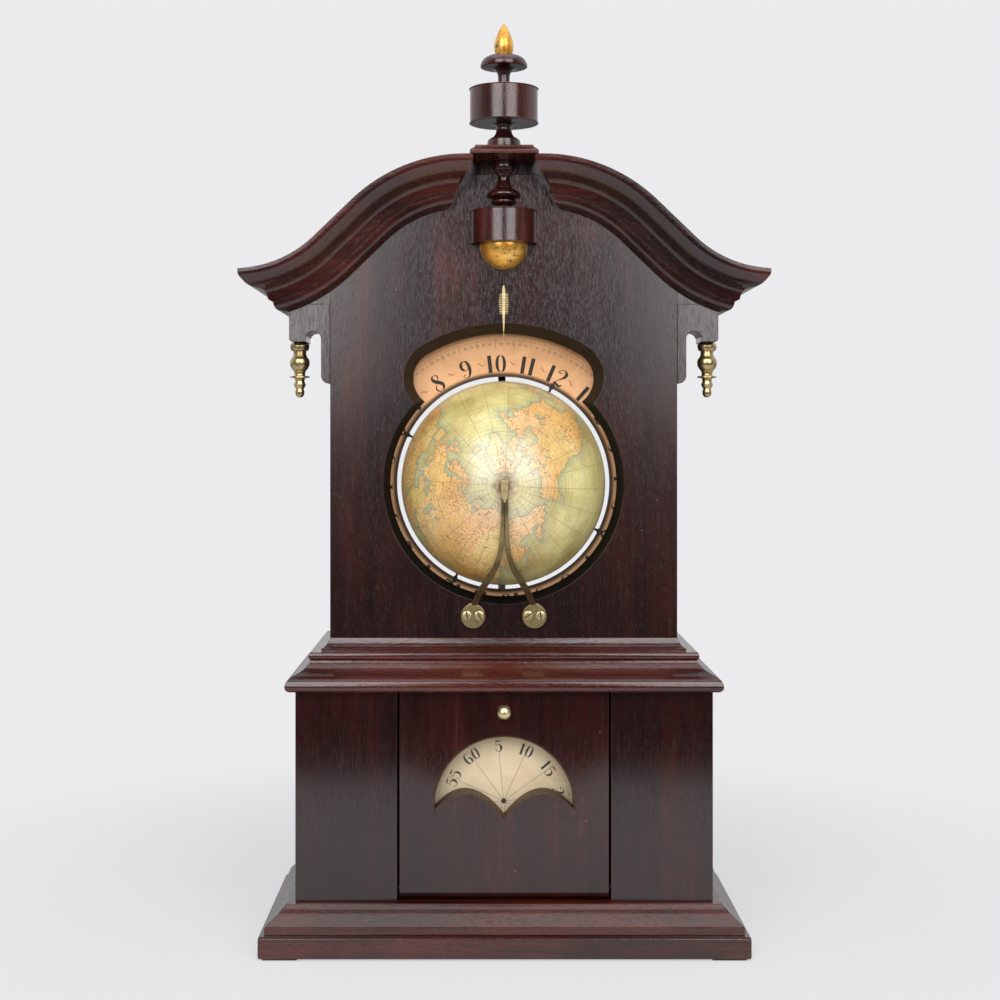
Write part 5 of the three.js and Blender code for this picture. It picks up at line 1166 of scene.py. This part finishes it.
def on_ball(lon, lat):
    """Unit vectors: the north pole faces the front, longitudes run anticlockwise from there."""
    angle = np.radians(lon + FIRST_MERIDIAN)
    lat = np.radians(lat)
    return np.stack([np.cos(lat) * np.cos(angle), -np.sin(lat), np.cos(lat) * np.sin(angle)], -1)


def coast_distance(lon, lat):
    """Signed distance to the nearest coast in degrees, above nought on land."""
    points = on_ball(lon, lat)
    inside = np.zeros(len(lon), bool)
    starts, ends = [], []
    for group, value in ((COASTS, True), (INLAND_WATERS, False)):
        for text in group.values():
            line = outline_of(text)
            a, b = line, np.roll(line, -1, 0)
            west = line[:, 0].min() - 0.01
            x = (lon - west) % 360 + west
            hit = np.zeros(len(lon), bool)
            for (x0, y0), (x1, y1) in zip(a, b):
                if y0 != y1:
                    cross = ((lat > y0) != (lat > y1)) & (x < x0 + (lat - y0) / (y1 - y0) * (x1 - x0))
                    hit ^= cross
            inside[hit] = value
            for (x0, y0), (x1, y1) in zip(a, b):
                if min(y0, y1) < -88:
                    continue
                wide = abs(x1 - x0) * math.cos(math.radians((y0 + y1) / 2))
                steps = max(1, int(max(wide, abs(y1 - y0)) / 3))
                t = np.linspace(0, 1, steps + 1)
                run = on_ball(x0 + (x1 - x0) * t, y0 + (y1 - y0) * t)
                starts.append(run[:-1])
                ends.append(run[1:])
    starts, ends = np.concatenate(starts), np.concatenate(ends)
    along = ends - starts
    length = (along ** 2).sum(1)
    near = np.zeros(len(points))
    batch = 2000
    for first in range(0, len(points), batch):
        away = points[first:first + batch, None, :] - starts[None]
        t = np.clip((away * along[None]).sum(2) / length[None], 0, 1)
        near[first:first + batch] = ((away - t[..., None] * along[None]) ** 2).sum(2).min(1)
    distance = np.degrees(np.sqrt(near))
    return np.where(inside, distance, -distance)


def globe_paint():
    """Engraved gores under yellowed varnish: washed lands, olive seas, graticule, coasts and fine marks."""
    paint = Finish("globe_gores", roughness=0.36, coat=0.55, specular=0.85)
    paint.set("Coat Roughness", 0.19)
    place = paint.place()
    x, y, z = paint.parts(paint.shifted(place, (0, -globe_centre.y, -globe_height)))
    coast = paint.node("ShaderNodeAttribute", {"attribute_name": "coast"}, None, "Fac")
    crinkle = paint.noise(place, 260, 4, 0.65) - 0.5
    shore = coast + crinkle * 2.8 + (paint.noise(place, 900, 3, 0.7) - 0.5) * 1.4
    land = shore.ease(-0.12, 0.12)
    radius = GLOBE_RADIUS
    lat = (y * (-1 / radius)).least(1.0).most(-1.0).math("ARCSINE") * (180 / math.pi)
    lon = z.math("ARCTAN2", x) * (180 / math.pi) + (360 - FIRST_MERIDIAN)
    level = (x * x + z * z).root() * (1 / radius)
    mark = paint.noise(place, 34, 4, 0.6)
    patch = paint.cells(place, 44, out="Color")
    patch_value = paint.node("ShaderNodeSeparateColor", None, {0: patch})
    wash = paint.ramp(
        patch_value, (0.0, (0.98, 0.55, 0.18)), (0.3, (0.94, 0.64, 0.22)), (0.5, (1.0, 0.53, 0.24)),
        (0.72, (0.92, 0.70, 0.22)), (1.0, (0.98, 0.61, 0.31)),
    )
    wash = paint.blend((mark - 0.42).most(0.0) * 2.2, wash, (0.66, 0.33, 0.06))
    border = paint.cells(paint.shifted(place, (0.0013, 0.0, 0.0009)), 105, "DISTANCE_TO_EDGE")
    frontier = (border + crinkle * 0.03).ease(0.012, 0.03, 1.0, 0.0)
    wash = paint.blend(frontier * 0.45, wash, (0.42, 0.17, 0.10))
    river = paint.cells(paint.shifted(place, (0.011, 0.004, 0.0)), 190, "DISTANCE_TO_EDGE") + crinkle * 0.09
    wash = paint.blend(river.abs().ease(0.004, 0.016, 0.30, 0.0), wash, (0.24, 0.20, 0.12))
    depth = (-shore).ease(0.0, 9.0)
    sea = paint.blend(depth, (0.60, 0.57, 0.27), (0.84, 0.75, 0.32))
    sea = paint.blend(mark.ease(0.42, 0.72) * 0.7, sea, (0.52, 0.42, 0.11))
    sea = paint.blend((-shore).ease(0.1, 2.2, 0.7, 0.0), sea, (0.33, 0.40, 0.28))
    base = paint.blend(land, sea, wash)
    base = paint.blend(level.ease(0.18, 0.62, 0.38, 0.0), base, (0.80, 0.73, 0.58))
    coast_line = shore.abs().ease(0.03, 0.17, 0.85, 0.0)
    base = paint.blend(coast_line, base, (0.16, 0.13, 0.07))
    texture = paint.noise(place, 640, 3, 0.7).ease(0.525, 0.60)
    hills = paint.noise(place, 70, 3, 0.6).ease(0.42, 0.56, 0.15, 1.0)
    base = paint.blend(texture * hills * (land * 0.5 + 0.22), base, (0.20, 0.085, 0.02))
    around = paint.node("ShaderNodeCombineXYZ", None, {0: lon * 0.45, 1: lat * 2.4, 2: 0.0})
    lettering = paint.noise(around, 2.2, 2, 0.5).ease(0.57, 0.62)
    rows = lat.wrapped(2.3).ease(0.25, 0.5, 1.0, 0.0)
    base = paint.blend(lettering * rows * 0.8, base, (0.09, 0.055, 0.025))
    meridian = (lon.wrapped(15.0) * level).ease(0.06, 0.17, 0.62, 0.0) * (lat.abs() < 80.5)
    parallel = lat.wrapped(10.0).ease(0.05, 0.15, 0.5, 0.0)
    graticule = meridian.most(parallel)
    for circle in (POLAR_CIRCLE, TROPIC):
        dashes = lon.wrapped(2.0) > 0.45
        graticule = graticule.most((lat.abs() - circle).abs().ease(0.08, 0.2, 0.75, 0.0) * dashes)
    graticule = graticule.most(lat.abs().ease(0.15, 0.35, 0.9, 0.0))
    base = paint.blend(graticule, base, (0.16, 0.11, 0.05))
    grime = paint.noise(place, 26, 5, 0.65).ease(0.48, 0.74)
    base = paint.blend(grime * 0.5, base, (0.42, 0.22, 0.045))
    pole_wear = (level.ease(0.03, 0.19, 1.0, 0.0) * (0.8 + crinkle * 2.4)).least(0.9).most(0.0)
    base = paint.blend(pole_wear, base, (0.15, 0.08, 0.028))
    gore = (lon.wrapped(30.0) * level).ease(0.05, 0.25, 0.25, 0.0)
    base = paint.blend(gore, base, (0.30, 0.20, 0.08))
    paint.set("Base Color", base)
    paint.set("Roughness", 0.33 + grime * 0.2 + pole_wear * 0.3)
    paint.set("Coat Weight", 0.6 - pole_wear * 0.6)
    paint.set("Normal", paint.bump(mark + crinkle * 0.2, 0.12 * MM, 0.25))
    return paint.material


def globe():
    """The ball as rows of latitude, dense in the north, which faces the front."""
    columns = 480
    lats = np.concatenate([np.linspace(OPEN_POLE, 0, 147), np.linspace(-1.5, -OPEN_POLE, 58)])
    lons = np.arange(columns) * 360 / columns
    lon, lat = np.meshgrid(lons, lats)
    points = on_ball(lon.ravel(), lat.ravel()) * GLOBE_RADIUS + np.array(globe_centre)
    verts, faces = skin(points.reshape(len(lats), columns, 3).tolist(), ends=False)
    mesh = mesh_of("globe_ball", verts, faces)
    mesh.polygons.foreach_set("use_smooth", [True] * len(faces))
    coast = mesh.attributes.new("coast", "FLOAT", "POINT")
    distance = coast_distance((lon.ravel() + 180) % 360 - 180, lat.ravel())
    coast.data.foreach_set("value", distance.astype(np.float32))
    mesh.materials.append(globe_paint())
    made = stood("globe_ball", mesh)
    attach(made, "globe")
    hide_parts("globe")


globe()


# Printing: pen strokes for figures, rules and arcs, as thin flat meshes on the paper

FIGURES = {
    "0": [[(0.27, 0.97, 0.04), (0.17, 0.88, 0.1), (0.12, 0.7, 0.13), (0.105, 0.5, 0.145), (0.12, 0.3, 0.13),
          (0.17, 0.12, 0.1), (0.27, 0.03, 0.04)], [(0.33, 0.97, 0.04), (0.43, 0.88, 0.1), (0.48, 0.7, 0.13),
          (0.495, 0.5, 0.145), (0.48, 0.3, 0.13), (0.43, 0.12, 0.1), (0.33, 0.03, 0.04)]],
    "1": [[(0.3, 0, 0.17), (0.3, 1, 0.17)]],
    "2": [[(0.13, 0.73, 0.17), (0.14, 0.79, 0.17)], [(0.07, 0.78, 0.03), (0.13, 0.92, 0.035),
          (0.24, 0.985, 0.035), (0.38, 0.97, 0.07), (0.48, 0.86, 0.14), (0.49, 0.72, 0.14),
          (0.42, 0.57, 0.1), (0.28, 0.4, 0.05), (0.15, 0.23, 0.035), (0.07, 0.1, 0.03)],
          [(0.06, 0.07, 0.12), (0.18, 0.11, 0.11), (0.32, 0.05, 0.1), (0.44, 0.06, 0.09),
          (0.53, 0.2, 0.02)]],
    "3": [[(0.13, 0.78, 0.15), (0.15, 0.83, 0.15)], [(0.1, 0.86, 0.03), (0.2, 0.97, 0.03),
          (0.32, 0.985, 0.045), (0.45, 0.9, 0.12), (0.47, 0.76, 0.14), (0.39, 0.6, 0.08),
          (0.25, 0.53, 0.03)], [(0.25, 0.53, 0.03), (0.42, 0.47, 0.08), (0.51, 0.3, 0.15),
          (0.46, 0.1, 0.12), (0.3, 0.01, 0.04), (0.17, 0.04, 0.03), (0.09, 0.16, 0.03)], [(0.13, 0.2, 0.15),
          (0.15, 0.24, 0.15)]],
    "4": [[(0.42, 0, 0.15), (0.42, 0.98, 0.15)], [(0.38, 0.97, 0.04), (0.2, 0.62, 0.035),
          (0.04, 0.29, 0.035)], [(0.03, 0.27, 0.035), (0.6, 0.27, 0.035)], [(0.28, 0.012, 0.025),
          (0.56, 0.012, 0.025)]],
    "5": [[(0.14, 0.92, 0.09), (0.3, 0.9, 0.09), (0.42, 0.93, 0.07), (0.5, 1, 0.02)], [(0.13, 0.95, 0.03),
          (0.12, 0.52, 0.03)], [(0.12, 0.52, 0.03), (0.24, 0.61, 0.03), (0.38, 0.6, 0.07),
          (0.5, 0.44, 0.14), (0.5, 0.26, 0.15), (0.4, 0.06, 0.08), (0.26, 0.01, 0.03), (0.14, 0.05, 0.03),
          (0.08, 0.15, 0.03)], [(0.12, 0.18, 0.15), (0.14, 0.22, 0.15)]],
    "6": [[(0.46, 0.8, 0.15), (0.45, 0.84, 0.15)], [(0.51, 0.87, 0.03), (0.42, 0.97, 0.03),
          (0.3, 0.98, 0.04), (0.17, 0.84, 0.1), (0.1, 0.6, 0.14), (0.1, 0.35, 0.15), (0.17, 0.1, 0.1),
          (0.3, 0.01, 0.03)], [(0.3, 0.01, 0.03), (0.45, 0.1, 0.11), (0.5, 0.29, 0.14), (0.44, 0.48, 0.1),
          (0.32, 0.56, 0.03), (0.2, 0.5, 0.03), (0.14, 0.36, 0.03)]],
    "7": [[(0.08, 0.8, 0.02), (0.12, 0.92, 0.09), (0.25, 0.9, 0.11), (0.4, 0.95, 0.08), (0.54, 0.94, 0.04)],
          [(0.54, 0.94, 0.03), (0.42, 0.66, 0.05), (0.33, 0.38, 0.11), (0.3, 0.1, 0.16), (0.31, 0, 0.14)]],
    "8": [[(0.3, 0.985, 0.03), (0.19, 0.94, 0.08), (0.15, 0.8, 0.12), (0.23, 0.64, 0.16),
          (0.38, 0.48, 0.16), (0.49, 0.32, 0.15), (0.49, 0.16, 0.12), (0.4, 0.04, 0.06),
          (0.3, 0.012, 0.03)], [(0.33, 0.985, 0.03), (0.43, 0.93, 0.05), (0.46, 0.8, 0.06),
          (0.38, 0.64, 0.035)], [(0.22, 0.46, 0.035), (0.1, 0.3, 0.06), (0.09, 0.16, 0.08),
          (0.17, 0.04, 0.05), (0.27, 0.012, 0.03)]],
}
FIGURES["9"] = [[(0.6 - x, 1 - y, w) for x, y, w in stroke] for stroke in FIGURES["6"]]
SERIF_ONE = [[(0.30, 0.0, .15), (0.30, 0.98, .15)], [(0.3, 0.97, .04), (0.2, 0.88, .03), (0.12, 0.85, .02)],
             [(0.13, 0.012, .03), (0.47, 0.012, .03)]]


def turned_forward(build):
    for face in build.faces:
        face.normal_update()
        if face.normal.y > 0:
            face.normal_flip()


class Printing:
    """Ink on a flat disc: everything is placed by radius and by angle clockwise from the top."""

    def __init__(self, name, y, height, body, slot):
        self.name, self.y, self.height, self.body, self.slot = name, y, height, body, slot
        self.verts, self.faces = [], []

    def ribbon(self, points, widths):
        start = len(self.verts)
        for i, (x, z) in enumerate(points):
            before, after = points[max(i - 1, 0)], points[min(i + 1, len(points) - 1)]
            dx, dz = after[0] - before[0], after[1] - before[1]
            length = math.hypot(dx, dz) or 1.0
            w = widths[i] / 2
            self.verts.append((x - dz / length * w, self.y, self.height + z + dx / length * w))
            self.verts.append((x + dz / length * w, self.y, self.height + z - dx / length * w))
        for i in range(len(points) - 1):
            a = start + 2 * i
            self.faces.append((a, a + 1, a + 3, a + 2))

    def spot(self, radius, clockwise):
        return swung(0, radius, clockwise)

    def rule(self, inner, outer, clockwise, width):
        self.ribbon([self.spot(inner, clockwise), self.spot(outer, clockwise)], [width, width])

    def circle(self, radius, width, steps):
        points = [self.spot(radius, 360 * i / steps) for i in range(steps + 1)]
        self.ribbon(points, [width] * len(points))

    def figure(self, strokes, radius, clockwise, size, narrow=1.0, bold=0.0):
        """A figure standing with its foot towards the centre; bold widens its thick strokes."""
        for stroke in strokes:
            line = [(x, y, 0) for x, y, _ in stroke]
            if len(stroke) > 2:
                line = faired(line, steps=5, corner=80)
            pen = [w + max(0, w - 0.05) * bold for _, _, w in stroke]
            widths = np.interp(np.linspace(0, 1, len(line)), np.linspace(0, 1, len(pen)), pen)
            wide = size * narrow
            points = [swung((x - 0.3) * wide, (y - 0.5) * size + radius, clockwise) for x, y, _ in line]
            self.ribbon(points, list(widths * wide))

    def number(self, text, radius, clockwise, size, gap, one=None, narrow=1.0, bold=0.0):
        """Figures set side by side along the arc."""
        wide = [0.36 if c == "1" else 0.60 for c in text]
        total = sum(wide) * size * narrow + gap * (len(text) - 1)
        x = -total / 2
        for c, w in zip(text, wide):
            middle = x + w * size * narrow / 2
            turn = math.degrees(middle / radius)
            strokes = one if (c == "1" and one) else FIGURES[c]
            self.figure(strokes, radius, clockwise + turn, size, narrow, bold)
            x += w * size * narrow + gap

    def print(self, material):
        mesh = mesh_of(self.name, self.verts, self.faces)
        reworked(mesh, turned_forward)
        mesh.materials.append(material)
        made = stood(self.name, mesh)
        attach(made, self.body)


# Hour ring: a browned paper face, with painted shade round its bore, on a thin dark plate, with four studs to
# the globe

ring_front = globe_centre.y - 1.25 * MM
ring_back = ring_front + 2.5 * MM


def hour_ring():
    """A flat ring, its paper face before a dark board."""
    corners = ((RING_BORE, ring_front), (ring_radius, ring_front),
               (ring_radius, ring_back), (RING_BORE, ring_back))
    around = [circle_at(y, radius, globe_height, 160) for radius, y in corners]
    made = sweep("hour_ring_plate", list(zip(*around)), [hour_paper, reveal_black],
                 ("hour_ring",), "globe", closed=True)
    first_in_front(made, -0.9)


hour_ring()
STUD = [(-1.6, 80.6), (-1.6, 84.2), (-1.0, 84.9), (1.0, 84.9), (1.6, 84.2), (1.6, 80.6), (0.9, 80.2),
        (0.9, 78.1), (-0.9, 78.1), (-0.9, 80.2)]


def stud(number, clockwise):
    """A dark clip on the ring's inner edge with a pin to the globe."""
    outline = [(x, globe_height + z) for x, z in in_mm([swung(x, z, clockwise) for x, z in STUD])]
    flat_board(f"ring_stud_{number}", outline, ring_front - 1.3 * MM, ring_back, iron, (),
               "globe", 0.3 * MM)


for i in range(4):
    stud(i + 1, 26.8 + 90 * i)

# Angles are in degrees clockwise from the top; the figure ten stands just left of it
TEN = -3.3
HOUR_STEP = 15
TEN_MINUTES, FIVE_MINUTES, TWO_MINUTES = 2.5, 1.25, 0.5
SCALE_CIRCLES = (109.4 * MM, 112.0 * MM, 114.8 * MM)


def hour_flourish(hours, middle):
    """A short swelling wave between two hour figures."""
    steps = [i / 14 for i in range(15)]
    wave = [hours.spot((91.8 + 1.1 * math.sin(2 * math.pi * t)) * MM, middle - 1.6 + 3.2 * t) for t in steps]
    hours.ribbon(wave, [0.1 * MM + 0.4 * MM * math.sin(math.pi * t) for t in steps])


def print_hours():
    """Two rounds of twelve, with a scale of minutes outside each hour."""
    hours = Printing("hour_ring_printing", ring_front - PRINT_RISE, globe_height, "globe", "hour_paper")
    scale = Printing("hour_ring_scale", ring_front - PRINT_RISE, globe_height, "globe", "hour_paper")
    inner, middle, outer = SCALE_CIRCLES
    for hour in range(24):
        clockwise = TEN + HOUR_STEP * hour
        text = str((hour + 9) % 12 + 1)
        hours.number(text, 91.3 * MM, clockwise, 13.3 * MM, 1.3 * MM, narrow=1.1, bold=0.25)
        hour_flourish(hours, clockwise + HOUR_STEP / 2)
        for half in (0, HOUR_STEP / 2):
            scale.rule(103.2 * MM, inner, clockwise + half, 0.26 * MM)
        for ten in range(1, 6):
            scale.number(str(10 * ten), 106.4 * MM, clockwise + ten * TEN_MINUTES, 2.3 * MM, 0.2 * MM)
    for radius in SCALE_CIRCLES:
        scale.circle(radius, 0.14 * MM, 360)
    for i in range(288):
        scale.rule(inner, middle, TEN + i * FIVE_MINUTES, 0.14 * MM)
    for i in range(720):
        scale.rule(middle, outer, TEN + i * TWO_MINUTES, 0.12 * MM)
    hours.print(ink)
    scale.print(faded_ink)


print_hours()


# Minute disc behind the door's window

def minute_disc():
    """A thin brass disc, its front papered and its rim eased."""
    front, back = disc_low.y, disc_high.y
    section = ((0, front), (disc_radius - 0.4 * MM, front), (disc_radius, front + 0.3 * MM),
               (disc_radius, back), (0, back))
    rings = [circle_at(y, radius, minute_height, 128) for radius, y in section]
    made = sweep("minute_disc_plate", rings, [minute_paper, plate_brass], ("minute_disc",),
                 "minute", ends=False)
    first_in_front(made, -0.5)


minute_disc()
FIVE = -5.7


def print_minutes():
    """Twelve figures in fives, each on a long rule, inside a scale of sixty."""
    minutes = Printing("minute_disc_printing", disc_low.y - PRINT_RISE, minute_height, "minute",
                       "minute_paper")
    inner, outer = 48.6 * MM, 49.8 * MM
    for step in range(12):
        clockwise = FIVE + 30 * step
        text = str(5 * (step + 1))
        gap, reach = (0.9 * MM, 45.4 * MM) if len(text) == 2 else (0.0, 36.2 * MM)
        minutes.number(text, 41.3 * MM, clockwise, 8.8 * MM, gap, one=SERIF_ONE, narrow=1.12, bold=0.25)
        minutes.rule(1.2 * MM, reach, clockwise, 0.24 * MM)
    minutes.circle(inner, 0.16 * MM, 240)
    minutes.circle(outer, 0.14 * MM, 240)
    for i in range(60):
        minutes.rule(inner, outer, FIVE + 6 * i, 0.3 * MM if i % 5 == 0 else 0.16 * MM)
    minutes.print(ink)


print_minutes()


# Wishbone fork over the globe's front, feet screwed to the panel

# Height, distance from the middle, width and depth in millimetres, from the head to the foot
FORK_ARM = [
    (346.0, 1.25, 2.4, 3.0), (334.0, 1.25, 2.45, 3.1), (322.0, 1.35, 2.6, 3.3), (312.0, 1.55, 2.9, 3.4),
    (303.0, 1.9, 3.2, 3.5), (295.0, 2.7, 3.5, 3.5), (288.0, 4.3, 4.0, 3.4), (281.0, 7.0, 4.6, 3.2),
    (274.5, 10.8, 5.3, 3.0), (268.0, 14.9, 5.6, 2.8), (262.0, 18.2, 5.4, 2.5), (257.5, 20.3, 5.0, 2.2),
    (254.0, 21.5, 4.7, 1.9), (251.0, 22.3, 4.4, 1.5), (248.0, 22.8, 4.0, 1.1),
]
FORK_SECTION = [(-1, 0.15), (-0.72, -0.55), (0, -1), (0.72, -0.55), (1, 0.15), (0.8, 1), (-0.8, 1)]
FORK_HEAD = [(-2.5, 346.4), (-2.1, 347.0), (2.1, 347.0), (2.5, 346.4), (2.5, 335.5), (0.5, 331.2),
             (0.0, 330.9), (-0.5, 331.2), (-2.5, 335.5)]
PIVOT_CAP = [(0, 0.0), (1.0, 0.0), (1.0, 0.2), (0.85, 0.6), (0.5, 0.9), (0, 1.0)]
SCREW_HEAD = [(0, 0), (1, 0), (1, 0.35), (0.93, 0.62), (0.72, 0.86), (0.4, 0.97), (0, 1)]
PIN_HEAD = [(0, 0), (1, 0), (0.95, 0.45), (0.7, 0.8), (0.35, 0.96), (0, 1)]
fork_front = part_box("globe_fork")[0].y


def foot_line(middle, centre_z, radius, neck, reach):
    """A round foot that draws in to a neck above it."""
    start = math.degrees(math.asin(neck / radius)) + 16
    line = arc(middle, centre_z, radius, 90 - start, -270 + start, 56)
    return [(middle + neck, centre_z + reach)] + line + [(middle - neck, centre_z + reach)]


def arm_path():
    """The arm's middle line with widths and depths: over the ball, then straight to its foot."""
    foot_rise, air_over_ball = 1.2 * MM, 2.7 * MM
    foot_forward = globe_centre.y - glued_front + foot_rise
    clear = GLOBE_RADIUS + air_over_ball
    # Heights where the arm leaves the ball and where it lands on its foot
    leaving, landing = 290, 252
    above = globe_height - leaving * MM
    leaning = (math.sqrt(clear ** 2 - above ** 2) - foot_forward) / ((leaving - landing) * MM)
    places, dense = np.linspace(0, 1, len(FORK_ARM)), np.linspace(0, 1, 64)
    columns = []
    for station in np.array(FORK_ARM).T:
        row = np.interp(dense, places, station)
        for _ in range(6):
            row = np.concatenate(([row[0]], (row[:-2] + 2 * row[1:-1] + row[2:]) / 4, [row[-1]]))
        columns.append(row)
    path = []
    for z, x, width, depth in zip(*columns):
        drop = globe_height - z * MM
        over = math.sqrt(max(clear ** 2 - drop ** 2 - (x * MM) ** 2, 0.0))
        # A soft meeting of the ball's line and the foot's
        forward = (over ** 4 + foot_forward ** 4) ** 0.25
        if z < leaving:
            forward = max(forward, foot_forward + (z - landing) * leaning * MM)
        y = max(globe_centre.y - forward, fork_front + 1.0 * MM + depth * MM / 2)
        path.append((Vector((x * MM, y, z * MM)), width * MM, depth * MM))
    return path


def fork_arm(side, word):
    """One arm: the faces that look to the middle take the fork's brass as a painted highlight, the others a
    darker copy as painted dark reflection.
    """
    path = arm_path()
    rings = []
    for i, (point, width, depth) in enumerate(path):
        ahead = path[min(i + 1, len(path) - 1)][0] - path[max(i - 1, 0)][0]
        along = ahead.normalized()
        across = (Vector((1, 0, 0)) - along * along.x).normalized()
        deep = along.cross(across)
        ring = []
        for a, b in FORK_SECTION:
            p = point + across * (a * width / 2) + deep * (b * depth / 2)
            ring.append((side * max(p.x, 0.02 * MM), min(p.y, glued_front), p.z))
        rings.append(ring)
    arm = sweep(f"fork_arm_{word}", rings, [arm_brass_painted_dark, fork_brass], ("globe_fork",), smooth=40)
    # Lit and shaded copies of one brass: inner faces painted bright as a highlight, the rest painted dark as
    # the reflection of the dark case.
    for face in arm.data.polygons:
        face.material_index = int(face.normal.x * side < -0.25 and face.normal.y < 0.3)
    ease(arm, 0.3 * MM)


def fork_foot(side, word):
    """A round foot with two screws, beside and below the globe's middle."""
    middle, foot_z = 23, globe_height - 99.1 * MM
    thick = 2.6 * MM
    outline = foot_line(side * middle * MM, foot_z, 9.1 * MM, 2.3 * MM, 9.5 * MM)
    front = glued_front - thick
    flat_board(f"fork_foot_{word}", outline, front, glued_front, fork_brass, bevel=0.45 * MM)
    for place, turn, x in (("inner", 15 - 50 * side, middle - 4.6), ("outer", 82, middle + 4.6)):
        screw_place = (side * x * MM, front, foot_z + 0.6 * MM)
        slotted_screw(f"fork_screw_{word}_{place}", screw_place, 3.3 * MM, turn)


def slotted_screw(name, place, radius, turn):
    """A domed head with its slot, the slot's walls and floor near-black as painted shade, facing the front.
    """
    half_slot, slot_floor, above = 0.4 * MM, 0.15 * MM, 2 * MM
    head = small_turning(name, SCREW_HEAD, radius, 0.55 * MM, 40)
    slot = ((-half_slot, slot_floor), (half_slot, slot_floor), (half_slot, above), (-half_slot, above))
    carved(head, cutter(name + "_slot", [[(end * radius, y, z) for y, z in slot] for end in (-3, 3)]))
    # Painted shade: the slot's walls and floor take the near-black reveal finish.
    head.data.materials.append(reveal_black)
    for face in head.data.polygons:
        wall = abs(face.normal.y) > 0.95 and abs(face.center.y) < half_slot + 0.02 * MM
        floor = abs(face.normal.z) > 0.95 and abs(face.center.z - slot_floor) < 0.03 * MM
        face.material_index = int(wall or floor)
    faced(head, place, turn)
    reworked(head.data, crisp(40))


def fork():
    """Both arms and feet, the flat head between them and the cap of the globe's front pivot."""
    for side, word in ((1, "right"), (-1, "left")):
        fork_arm(side, word)
        fork_foot(side, word)
    brass_board("fork_head", FORK_HEAD, fork_front, fork_front + 2.1 * MM, 0.4 * MM)
    cap = small_turning("fork_pivot_cap", PIVOT_CAP, 1.7 * MM, 0.9 * MM, 32)
    faced(cap, (0, fork_front + 1.0 * MM, globe_height))


fork()


# Feathered hour pointer with its two pins

def pointer():
    """A tapering shaft with barbs like a feather's, a tip bent back to the ring and two pins."""
    low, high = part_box("hour_pointer")
    front, top = low.y, high.z / MM
    right = [(0.5, top), (1.15, top - 3.5), (1.15, top - 21.5), (0.8, top - 25), (0.42, top - 34)]
    shaft = right + [(0, top - 36.2)] + [(-x, z) for x, z in right[::-1]]
    brass_board("pointer_shaft", shaft, front, glued_front, 0.22 * MM, ("hour_pointer",))
    first_barb, barb_step, barb_height, barbs = top - 6.2, 1.3, 0.62, 12
    for i in range(barbs):
        z = first_barb - i * barb_step
        from_middle = abs(2 * i - (barbs - 1)) / (barbs - 1)
        reach = 3.7 - 0.6 * from_middle
        barb = [(-reach, z), (-reach, z - barb_height), (reach, z - barb_height), (reach, z)]
        brass_board(f"pointer_barb_{i + 1}", barb, front + 0.25 * MM, glued_front - 0.1 * MM, 0.12 * MM)
    tip, half_thick = [], 0.3 * MM
    for i in range(15):
        t = i / 14
        y = front + 0.6 * MM + 11.5 * MM * t ** 1.7
        z = (top - 35.6 - 5.2 * math.sin(t * math.pi / 2)) * MM
        half = (0.5 - 0.32 * t) * MM
        tip.append([(-half, y - half_thick, z), (half, y - half_thick, z), (half, y + half_thick, z),
                    (-half, y + half_thick, z)])
    sweep("pointer_tip", tip, bright_brass)
    for i, drop in enumerate((7.2, 20.6)):
        pin = small_turning(f"pointer_pin_{i + 1}", PIN_HEAD, 1.25 * MM, 0.5 * MM, 28)
        faced(pin, (0, front + 0.4 * MM, (top - drop) * MM))


pointer()


# Floor, air and lights

def studio_floor():
    """Pale under the clock, and as bright as the air farther off."""
    near, far, wide = -0.65, 30, 9
    corners = [(-wide, near, 0), (wide, near, 0), (wide, far, 0), (-wide, far, 0)]
    mesh = mesh_of("studio_floor", corners, [(0, 1, 2, 3)])
    paint = Finish("studio_floor_paint", roughness=0.6, specular=0.2)
    x, y, _ = paint.parts(paint.place())
    away = (x * x + y * y).root()
    paint.set("Base Color", (0.86, 0.86, 0.875))
    glow = paint.node("ShaderNodeEmission", None, {"Color": (0.83, 0.83, 0.85), "Strength": 1.0})
    seen = paint.node("ShaderNodeLightPath", out="Is Camera Ray")
    paint.mixed(away.ease(0.22, 0.75, 0.64, 1.0) * seen, paint.shader.outputs[0], glow.socket)
    mesh.materials.append(paint.material)
    stood("studio_floor", mesh)


def studio_air():
    """Bright where the lens or the glass looks at it, dim as a light, paler in mirrors from behind."""
    world = bpy.data.worlds.new("studio_air")
    scene.world = world
    world.use_nodes = True
    air = Tree(world.node_tree)
    _, toward_back, _ = air.parts(air.node("ShaderNodeTexCoord", out="Generated"))
    mirrored, seen, through = [air.node("ShaderNodeLightPath", out=f"Is {ray} Ray")
                               for ray in ("Glossy", "Camera", "Transmission")]
    level = mirrored * toward_back.ease(-0.75, 0.35, -0.09, 0.87) + 0.13
    background = air.tree.nodes["Background"]
    air.feed(background.inputs["Color"], (0.83, 0.83, 0.845))
    air.feed(background.inputs["Strength"], level.most(seen).most(through))


def softbox(name, place, aim, size, power):
    data = bpy.data.lights.new(name, "AREA")
    data.shape = "RECTANGLE"
    data.size, data.size_y = size
    data.energy = power
    made = stood(name, data)
    made.location = place
    made.rotation_euler = (Vector(aim) - Vector(place)).to_track_quat("-Z", "Y").to_euler()


studio_floor()
studio_air()
softbox("left_softbox", (-0.72, -1.75, 1.32), (0, 0, 0.38), size=(1.2, 1.9), power=31)
softbox("right_softbox", (0.78, -1.72, 1.30), (0, 0, 0.38), size=(1.2, 1.9), power=30)
softbox("top_softbox", (0.0, -0.1, 2.0), (0, 0, 0.3), size=(1.8, 1.2), power=8)
